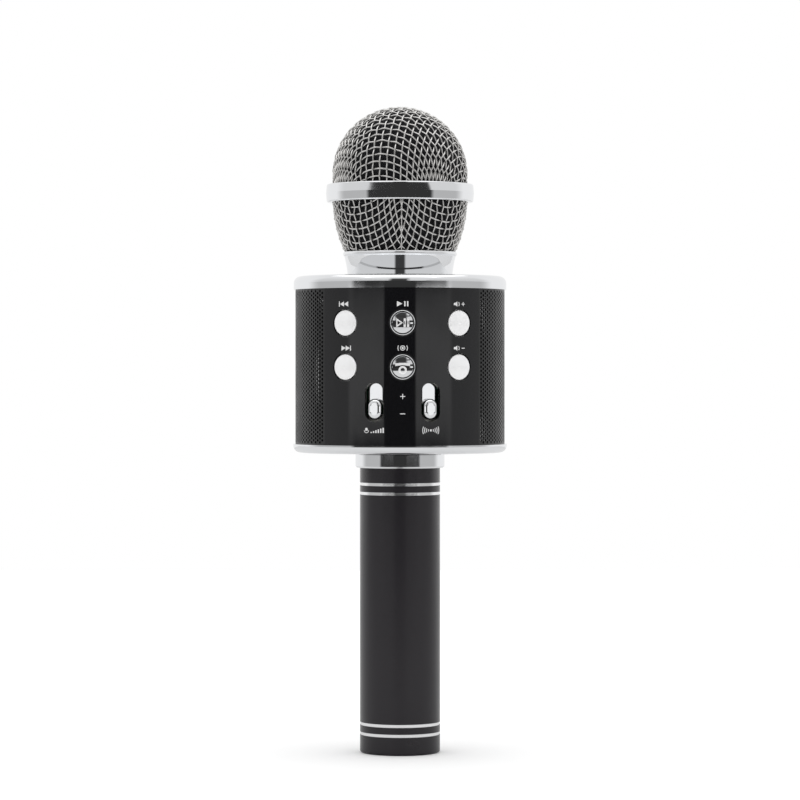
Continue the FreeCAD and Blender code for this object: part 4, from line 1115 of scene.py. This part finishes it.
@dataclass
class Marks:
    """Flat shapes in millimetres, across and up from a middle, to be printed or raised as thin prisms."""

    shapes: list[tuple[list[Flat], Optional[list[Flat]]]] = field(default_factory=list)

    def polygon(self, *corners: Flat) -> "Marks":
        """Add a convex shape, its corners anticlockwise."""
        self.shapes.append((list(corners), None))
        return self

    def bar(self, left: float, low: float, right: float, high: float) -> "Marks":
        """Add an upright rectangle."""
        return self.polygon((left, low), (right, low), (right, high), (left, high))

    def arrow(self, tip: float, width: float, height: float) -> "Marks":
        """Add a triangle that points to its tip; a negative width points left."""
        corners = [(tip - width, -height / 2), (tip, 0.0), (tip - width, height / 2)]
        return self.polygon(*(corners if width > 0 else corners[::-1]))

    def ring(self, across: float, up: float, outer: float, inner: float = 0.0) -> "Marks":
        """Add a disc, or a ring where it has an inner radius.

        Args:
            across: how far its centre is to the right.
            up: how far its centre is up.
            outer: its radius.
            inner: the radius of the hole in it.

        Returns:
            These marks.
        """
        loops = [[(across + radius * math.cos(turn), up + radius * math.sin(turn)) for turn in turns(32)]
                 for radius in (outer, inner)]
        self.shapes.append((loops[0], loops[1] if inner else None))
        return self

    def arc(self, up: float, radius: float, stroke: float, first: float, last: float,
            across: float = 0.0) -> "Marks":
        """Add a curved stroke.

        Args:
            up: height of its centre.
            radius: radius of its middle line.
            stroke: its width.
            first: where it starts, in degrees.
            last: where it ends, in degrees.
            across: how far its centre is to the right.

        Returns:
            These marks.
        """
        bends = [math.radians(first + (last - first) * step / 8) for step in range(9)]
        for start, end in zip(bends, bends[1:]):
            self.polygon(*((across + (radius + side * stroke / 2) * math.cos(turn),
                            up + (radius + side * stroke / 2) * math.sin(turn))
                           for side, turn in ((-1, start), (1, start), (1, end), (-1, end))))
        return self

    def outlined(self, stroke: float, *corners: Flat) -> "Marks":
        """Add a convex outline.

        Args:
            stroke: its width, inside its corners.
            corners: the corners, anticlockwise.

        Returns:
            These marks.
        """
        middle = (sum(x for x, _ in corners) / len(corners), sum(z for _, z in corners) / len(corners))
        sides = zip(corners, corners[1:] + corners[:1])
        share = 1.0 - stroke / min(distance_to_side(middle, start, end) for start, end in sides)
        inner = [tuple(middle[axis] + (corner[axis] - middle[axis]) * share for axis in (0, 1))
                 for corner in corners]
        self.shapes.append((list(corners), inner))
        return self

    def raise_on(self, shape: Shape, lay: Callable[[float, float, int], Point]) -> None:
        """Add the marks to a piece as thin closed prisms.

        Args:
            shape: the piece under construction.
            lay: places a point, given its distance across and up in metres and 0 for foot or 1 for top.
        """
        for outer, inner in self.shapes:
            first, count = len(shape.points), len(outer)
            for loop in (outer, inner or []):
                for level in (0, 1):
                    shape.points.extend(lay(x * MM, z * MM, level) for x, z in loop)
            for step in range(count):
                after = (step + 1) % count
                (low, low_on), (top, top_on), (in_low, in_low_on), (in_top, in_top_on) = (
                    (first + level * count + step, first + level * count + after) for level in range(4))
                shape.faces.append([low, low_on, top_on, top])
                if inner:
                    shape.faces += [[in_low_on, in_low, in_top, in_top_on], [top, top_on, in_top_on, in_top],
                                    [low_on, low, in_low, in_low_on]]
            if not inner:
                shape.faces.append([first + step for step in reversed(range(count))])
                shape.faces.append([first + count + step for step in range(count)])


def distance_to_side(point: Flat, start: Flat, end: Flat) -> float:
    """Return how far a point is from the line through two others."""
    along = (end[0] - start[0], end[1] - start[1])
    return abs(along[0] * (point[1] - start[1]) - along[1] * (point[0] - start[0])) / math.hypot(*along)


def skip_mark(toward: int) -> Marks:
    """Draw two arrows and a bar: skip back (-1) or on (1).

    Args:
        toward: which way they point.

    Returns:
        The mark.
    """
    marks = Marks()
    for tip in (0.35, 2.15):
        marks.arrow(toward * tip, toward * 1.8, 1.9)
    left, right = sorted((toward * 2.2, toward * 2.6))
    return marks.bar(left, -HALF, right, HALF)


def sign_mark(plus: bool, size: float = HALF, across: float = 0.0) -> Marks:
    """Draw a plain plus or minus sign.

    Args:
        plus: whether it is a plus sign.
        size: half its width.
        across: how far it is to the right.

    Returns:
        The mark.
    """
    arm = 0.15
    marks = Marks().bar(across - size, -arm, across + size, arm)
    if plus:
        marks.bar(across - arm, arm, across + arm, size).bar(across - arm, -size, across + arm, -arm)
    return marks


def volume_mark(louder: bool) -> Marks:
    """Draw a small loudspeaker with a plus or a minus sign.

    Args:
        louder: whether it has the plus sign.

    Returns:
        The mark.
    """
    marks = sign_mark(louder, 0.7, 1.6).bar(-2.5, -0.4, -1.9, 0.4)
    marks.polygon((-1.9, -0.4), (-1.0, -HALF), (-1.0, HALF), (-1.9, 0.4))
    return marks.arc(0.0, HALF, STROKE, -48, 48, across=-1.1)


def microphone_mark() -> Marks:
    """Draw a small microphone with a row of rising bars.

    Returns:
        The mark.
    """
    marks = Marks().ring(-3.0, 0.45, 0.5).bar(-3.5, -0.1, -2.5, 0.45)
    marks.arc(0.0, 0.85, 0.22, 180, 360, across=-3.0).bar(-3.12, -1.0, -2.88, -0.78)
    for step in range(6):
        left = -1.4 + 0.9 * step
        marks.bar(left, -HALF, left + 0.5, -0.55 + 0.3 * step)
    return marks


def echo_mark() -> Marks:
    """Draw a dot with waves that spread to both sides.

    Returns:
        The mark.
    """
    marks = Marks().ring(0.0, 0.0, 0.4)
    for radius in (1.0, 1.7, 2.4, 3.1):
        marks.arc(0.0, radius, STROKE, -26, 26).arc(0.0, radius, STROKE, 154, 206)
    return marks


KEY_MARKS = {
    "previous": skip_mark(-1),
    "scan": Marks().arrow(-0.1, 2.0, 2.0).bar(0.55, -HALF, 1.05, HALF).bar(1.6, -HALF, 2.1, HALF),
    "volume_up": volume_mark(True),
    "next": skip_mark(1),
    "record": (Marks().ring(0.0, 0.0, HALF, 0.68).ring(0.0, 0.0, 0.42)
               .arc(0.0, 1.75, STROKE, -32, 32).arc(0.0, 1.75, STROKE, 148, 212)),
    "volume_down": volume_mark(False)}
SOCKET_MARKS = {
    "power_knob": Marks().arc(0.0, 0.85, STROKE, 125, 415).bar(-0.13, 0.1, 0.13, 1.15),
    "audio_jack": Marks().arc(-0.1, HALF, 0.24, 0, 180).bar(-1.15, -HALF, -0.7, -0.1)
                         .bar(0.7, -HALF, 1.15, -0.1),
    "charging_socket": (Marks().polygon((-0.65, -0.1), (0.15, -0.1), (0.35, 1.1))
                        .polygon((-0.35, -1.1), (0.65, 0.1), (-0.15, 0.1))),
    "card_socket": Marks().outlined(0.22, (-0.75, -1.0), (0.75, -1.0), (0.75, 1.0), (-0.3, 1.0),
                                    (-0.75, 0.55))}


@dataclass
class Legends(SubAssembly):
    """Small white marks printed on the front and rear panels."""

    thickness: float = 0.03 * MM
    sunk: float = 0.02 * MM
    above_key: float = 7.0 * MM
    below_knob: float = 3.9 * MM
    sign_offsets: Flat = (2.2 * MM, -4.2 * MM)
    rear_azimuth: float = 193.0

    def front(self) -> Iterator[tuple[Marks, float, float]]:
        """Place the front panel's marks.

        Yields:
            A mark with its azimuth and height.
        """
        for key, marks in KEY_MARKS.items():
            azimuth, level = middle_of(f"{key}_plunger")
            yield marks, azimuth, level + self.above_key
        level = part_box("mic_volume_knob")[0].z - self.below_knob
        yield microphone_mark(), middle_of("mic_volume_lever")[0], level
        yield echo_mark(), middle_of("effect_lever")[0], level
        for plus, offset in zip((True, False), self.sign_offsets):
            yield sign_mark(plus), 0.0, middle_of("slide_controls")[1] + offset

    def rear(self) -> Iterator[tuple[Marks, float, float]]:
        """Place the rear panel's marks.

        Yields:
            A mark with its azimuth and height.
        """
        for node, marks in SOCKET_MARKS.items():
            yield marks, self.rear_azimuth, middle_of(node)[1]

    def make(self) -> None:
        """Print both panels."""
        for panel, placed in (("front", self.front()), ("rear", self.rear())):
            low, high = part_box(f"{panel}_panel")
            radius = max(-low.y, high.y)
            print_shape = Shape()
            for marks, azimuth, level in placed:
                def lay(across: float, up: float, top: int) -> Point:
                    """Wrap a point of a mark round the panel."""
                    lifted = radius + (self.thickness if top else -self.sunk)
                    return around(azimuth + math.degrees(across / radius), lifted, level + up)

                marks.raise_on(print_shape, lay)
            show_mesh(print_shape.mesh(f"{panel}_legends"), INK, None, smooth=20.0)


@dataclass
class Keys(SubAssembly):
    """Six chrome keys; the two in the middle have a domed face with a raised sign in a recess."""

    dressed = {"key_switches": SWITCH, "control_board": BOARD,
               **{f"{key}_plunger": SWITCH for key in KEYS},
               **{f"{key}_button": CHROME if key in ("scan", "record") else PEARL_AND_PAINTED_HIGHLIGHT for key in KEYS}}

    radius: float = 3.9 * MM
    recess: float = 0.45 * MM
    rise: float = 0.34 * MM
    sunk: float = 0.05 * MM
    sign_height: float = 0.08 * MM
    rings: int = 10
    sides: int = 48

    def make(self) -> None:
        """Make the faces of the scan and record keys."""
        play = Marks().outlined(0.42, (-2.35, -1.75), (0.1, 0.0), (-2.35, 1.75))
        for left, right in ((0.35, 1.15), (1.6, 2.4)):
            play.outlined(0.24, (left, -1.6), (right, -1.6), (right, 1.6), (left, 1.6))
        record = Marks().ring(0.0, -1.15, 1.55, 0.8)
        record.polygon((-2.7, 0.35), (0.0, 0.75), (1.2, 1.55), (-1.2, 1.55), (-2.7, 1.35))
        record.polygon((0.0, 0.75), (2.7, 0.35), (2.7, 1.35), (1.2, 1.55))
        for key, signs in (("scan", play), ("record", record)):
            self.make_face(key, signs)

    def height(self, across: float, up: float) -> float:
        """Return the dome's height above the recess at a place on it."""
        reach = min(1.0, math.hypot(across, up) / self.radius)
        return self.rise * (1.0 - reach * reach)

    def make_face(self, key: str, signs: Marks) -> None:
        """Make one key's dome and its raised sign, the sign near white as a painted highlight.

        Args:
            key: the key's name.
            signs: the shapes that stand on its dome.
        """
        low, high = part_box(f"{key}_button")
        level, floor = (low.z + high.z) / 2, low.y + self.recess

        def lay(across: float, up: float, top: int) -> Point:
            """Place a point on the dome, a little over it or a little in it."""
            lift = self.height(across, up) + (self.sign_height if top else -self.sunk)
            return across, floor - lift, level + up

        steps = [(self.radius, -self.sunk)]
        for ring in range(self.rings):
            reach = self.radius * (self.rings - ring) / self.rings
            steps.append((reach, self.height(reach, 0.0)))
        rings = [[(reach * math.cos(turn), floor - lift, level + reach * math.sin(turn))
                  for turn in turns(self.sides)] for reach, lift in steps]
        dome, raised = Shape(), Shape()
        dome.skin(rings)
        signs.raise_on(raised, lay)
        body = f"{key}_key"
        show_mesh(dome.mesh(f"{body}_face"), CHROME, CHROME.name, smooth=50.0, body=body)
        # The sign is chrome like the dome, but it gets the near-white pearl finish: a painted highlight for
        # its raised edges catching the light.
        show_mesh(raised.mesh(f"{body}_sign"), PEARL_AND_PAINTED_HIGHLIGHT, CHROME.name, smooth=20.0, body=body)


# ---- stage
@dataclass(frozen=True)
class Gap:
    """A gap in the light: its level, that of the wall beside it, and where one fades into the other."""

    fade: Flat
    dark: float
    bright: float


WIDE = Gap((48.0, 56.0), 0.035, 0.5)
NARROW = Gap((8.0, 14.0), 0.05, 0.72)


@dataclass
class Studio:
    """Pale floor, soft light all round with dark gaps that the chrome reflects, and the camera."""

    distance: float = 1.29
    azimuth: float = -1.4
    eye_height: float = 0.1431
    aim_height: float = 0.1336
    lens: float = 153.0
    floor: float = 1.2
    lamp_height: float = 1.5
    lamp_size: float = 1.6
    lamp_power: float = 6.0
    lamp_back: float = 0.1
    paper: float = 0.93
    mirrored_paper: float = 0.6
    middle_gap: Gap = Gap((15.5, 18.5), 0.02, 0.97)
    side_wall: Gap = Gap((54.0, 60.0), 0.97, 0.53)
    back_fade: Flat = (95.0, 120.0)
    back_wall: float = 0.9
    sky_fade: Flat = (25.0, 50.0)
    sky: float = 1.3
    mirrored_sky: float = 0.85
    zones: tuple[tuple[Flat, Gap], ...] = (((1.4, 1.46), WIDE), ((4.5, 6.0), NARROW), ((12.4, 12.6), WIDE),
                                           ((14.3, 14.5), NARROW), ((-1.08, -1.12), WIDE))

    def build(self) -> None:
        """Set up floor, light and camera."""
        self.build_floor()
        self.build_surround()
        self.build_lamp()
        self.build_camera()
        LOG.info("%s: floor, surround, lamp and camera are set up", type(self).__name__)

    def build_floor(self) -> None:
        """Lay a pale floor that looks a little darker in the chrome than it is."""
        size = self.floor
        mesh = bpy.data.meshes.new("floor")
        corners = [(-size, -size, 0), (size, -size, 0), (size, size, 0), (-size, size, 0)]
        mesh.from_pydata(corners, [], [(0, 1, 2, 3)])
        bench = Bench("floor_paper", (self.paper,) * 3, 0.9)
        mirrored = bench.node("ShaderNodeLightPath").outputs["Is Glossy Ray"]
        greys = [(shade, shade, shade, 1.0) for shade in (self.paper, self.mirrored_paper)]
        bench.set(Base_Color=bench.mix(mirrored, *greys, kind="RGBA"))
        bench.bump(bench.effect(Effect.GRAIN, "Height", Scale=400.0), 0.00005)
        mesh.materials.append(bench.material)
        paper = bpy.data.objects.new("floor", mesh)
        bpy.context.scene.collection.objects.link(paper)

    def build_surround(self) -> None:
        """Surround the stage with soft white light that has dark gaps on the camera's side."""
        world = bpy.data.worlds.new("surround")
        bpy.context.scene.world = world
        world.use_nodes = True
        sky = Wiring(world.node_tree)
        toward = sky.split(sky.node("ShaderNodeTexCoord").outputs["Generated"])
        backwards = sky.math("MULTIPLY", toward["Y"], -1.0)
        turned = sky.math("DEGREES", sky.math("ARCTAN2", toward["X"], backwards))
        off = sky.math("ABSOLUTE", sky.math("SUBTRACT", turned, self.azimuth))
        rise = sky.math("DEGREES", sky.math("ARCSINE", toward["Z"]))

        def step(amount: Operand, fade: Flat) -> Socket:
            """Return a smooth rise from 0 at the first angle to 1 at the second."""
            return sky.ramp(amount, *fade, "SMOOTHSTEP")

        def wall(gap: Gap) -> Socket:
            """Return the light of a gap and of the wall beside it."""
            return sky.mix(step(off, gap.fade), gap.dark, gap.bright)

        walls = sky.mix(step(off, self.middle_gap.fade), self.middle_gap.dark, wall(self.side_wall))
        shades = {gap: wall(gap) for gap in (WIDE, NARROW)}
        for fade, gap in self.zones:
            walls = sky.mix(step(rise, fade), walls, shades[gap])
        walls = sky.mix(step(off, self.back_fade), walls, self.back_wall)
        paths = sky.node("ShaderNodeLightPath").outputs
        overhead = sky.mix(paths["Is Glossy Ray"], self.sky, self.mirrored_sky)
        soft = sky.mix(step(rise, self.sky_fade), walls, overhead)
        background = sky.tree.nodes["Background"].inputs
        sky.plug(sky.mix(paths["Is Camera Ray"], soft, 1.0), background["Strength"])
        sky.plug((1.0, 1.0, 1.0, 1.0), background["Color"])

    def build_lamp(self) -> None:
        """Hang one large soft lamp overhead."""
        light = bpy.data.lights.new("overhead_softbox", "AREA")
        light.size = self.lamp_size
        light.energy = self.lamp_power
        lamp = bpy.data.objects.new("overhead_softbox", light)
        lamp.location = (0.0, self.lamp_back, self.lamp_height)
        bpy.context.scene.collection.objects.link(lamp)

    def build_camera(self) -> None:
        """Set the camera a little to the left of the front, level with the speaker drum."""
        data = bpy.data.cameras.new("camera")
        data.lens = self.lens
        camera = bpy.data.objects.new("camera", data)
        camera.location = around(self.azimuth, self.distance, self.eye_height)
        aim = Vector((0.0, 0.0, self.aim_height)) - camera.location
        camera.rotation_euler = aim.to_track_quat("-Z", "Y").to_euler()
        bpy.context.scene.collection.objects.link(camera)
        bpy.context.scene.camera = camera
        bpy.context.scene.view_settings.view_transform = "Standard"


def main() -> None:
    """Build the microphone's looks, sub-assembly by sub-assembly, and its stage."""
    logging.basicConfig(level=logging.INFO, format="%(name)s: %(message)s")
    for part in (Handle(), Necks(), Drum(), Speakers(), Sliders(), Keys(), RearControls(), Head(), Legends()):
        part.build()
    Studio().build()


if __name__ == "__main__":
    main()
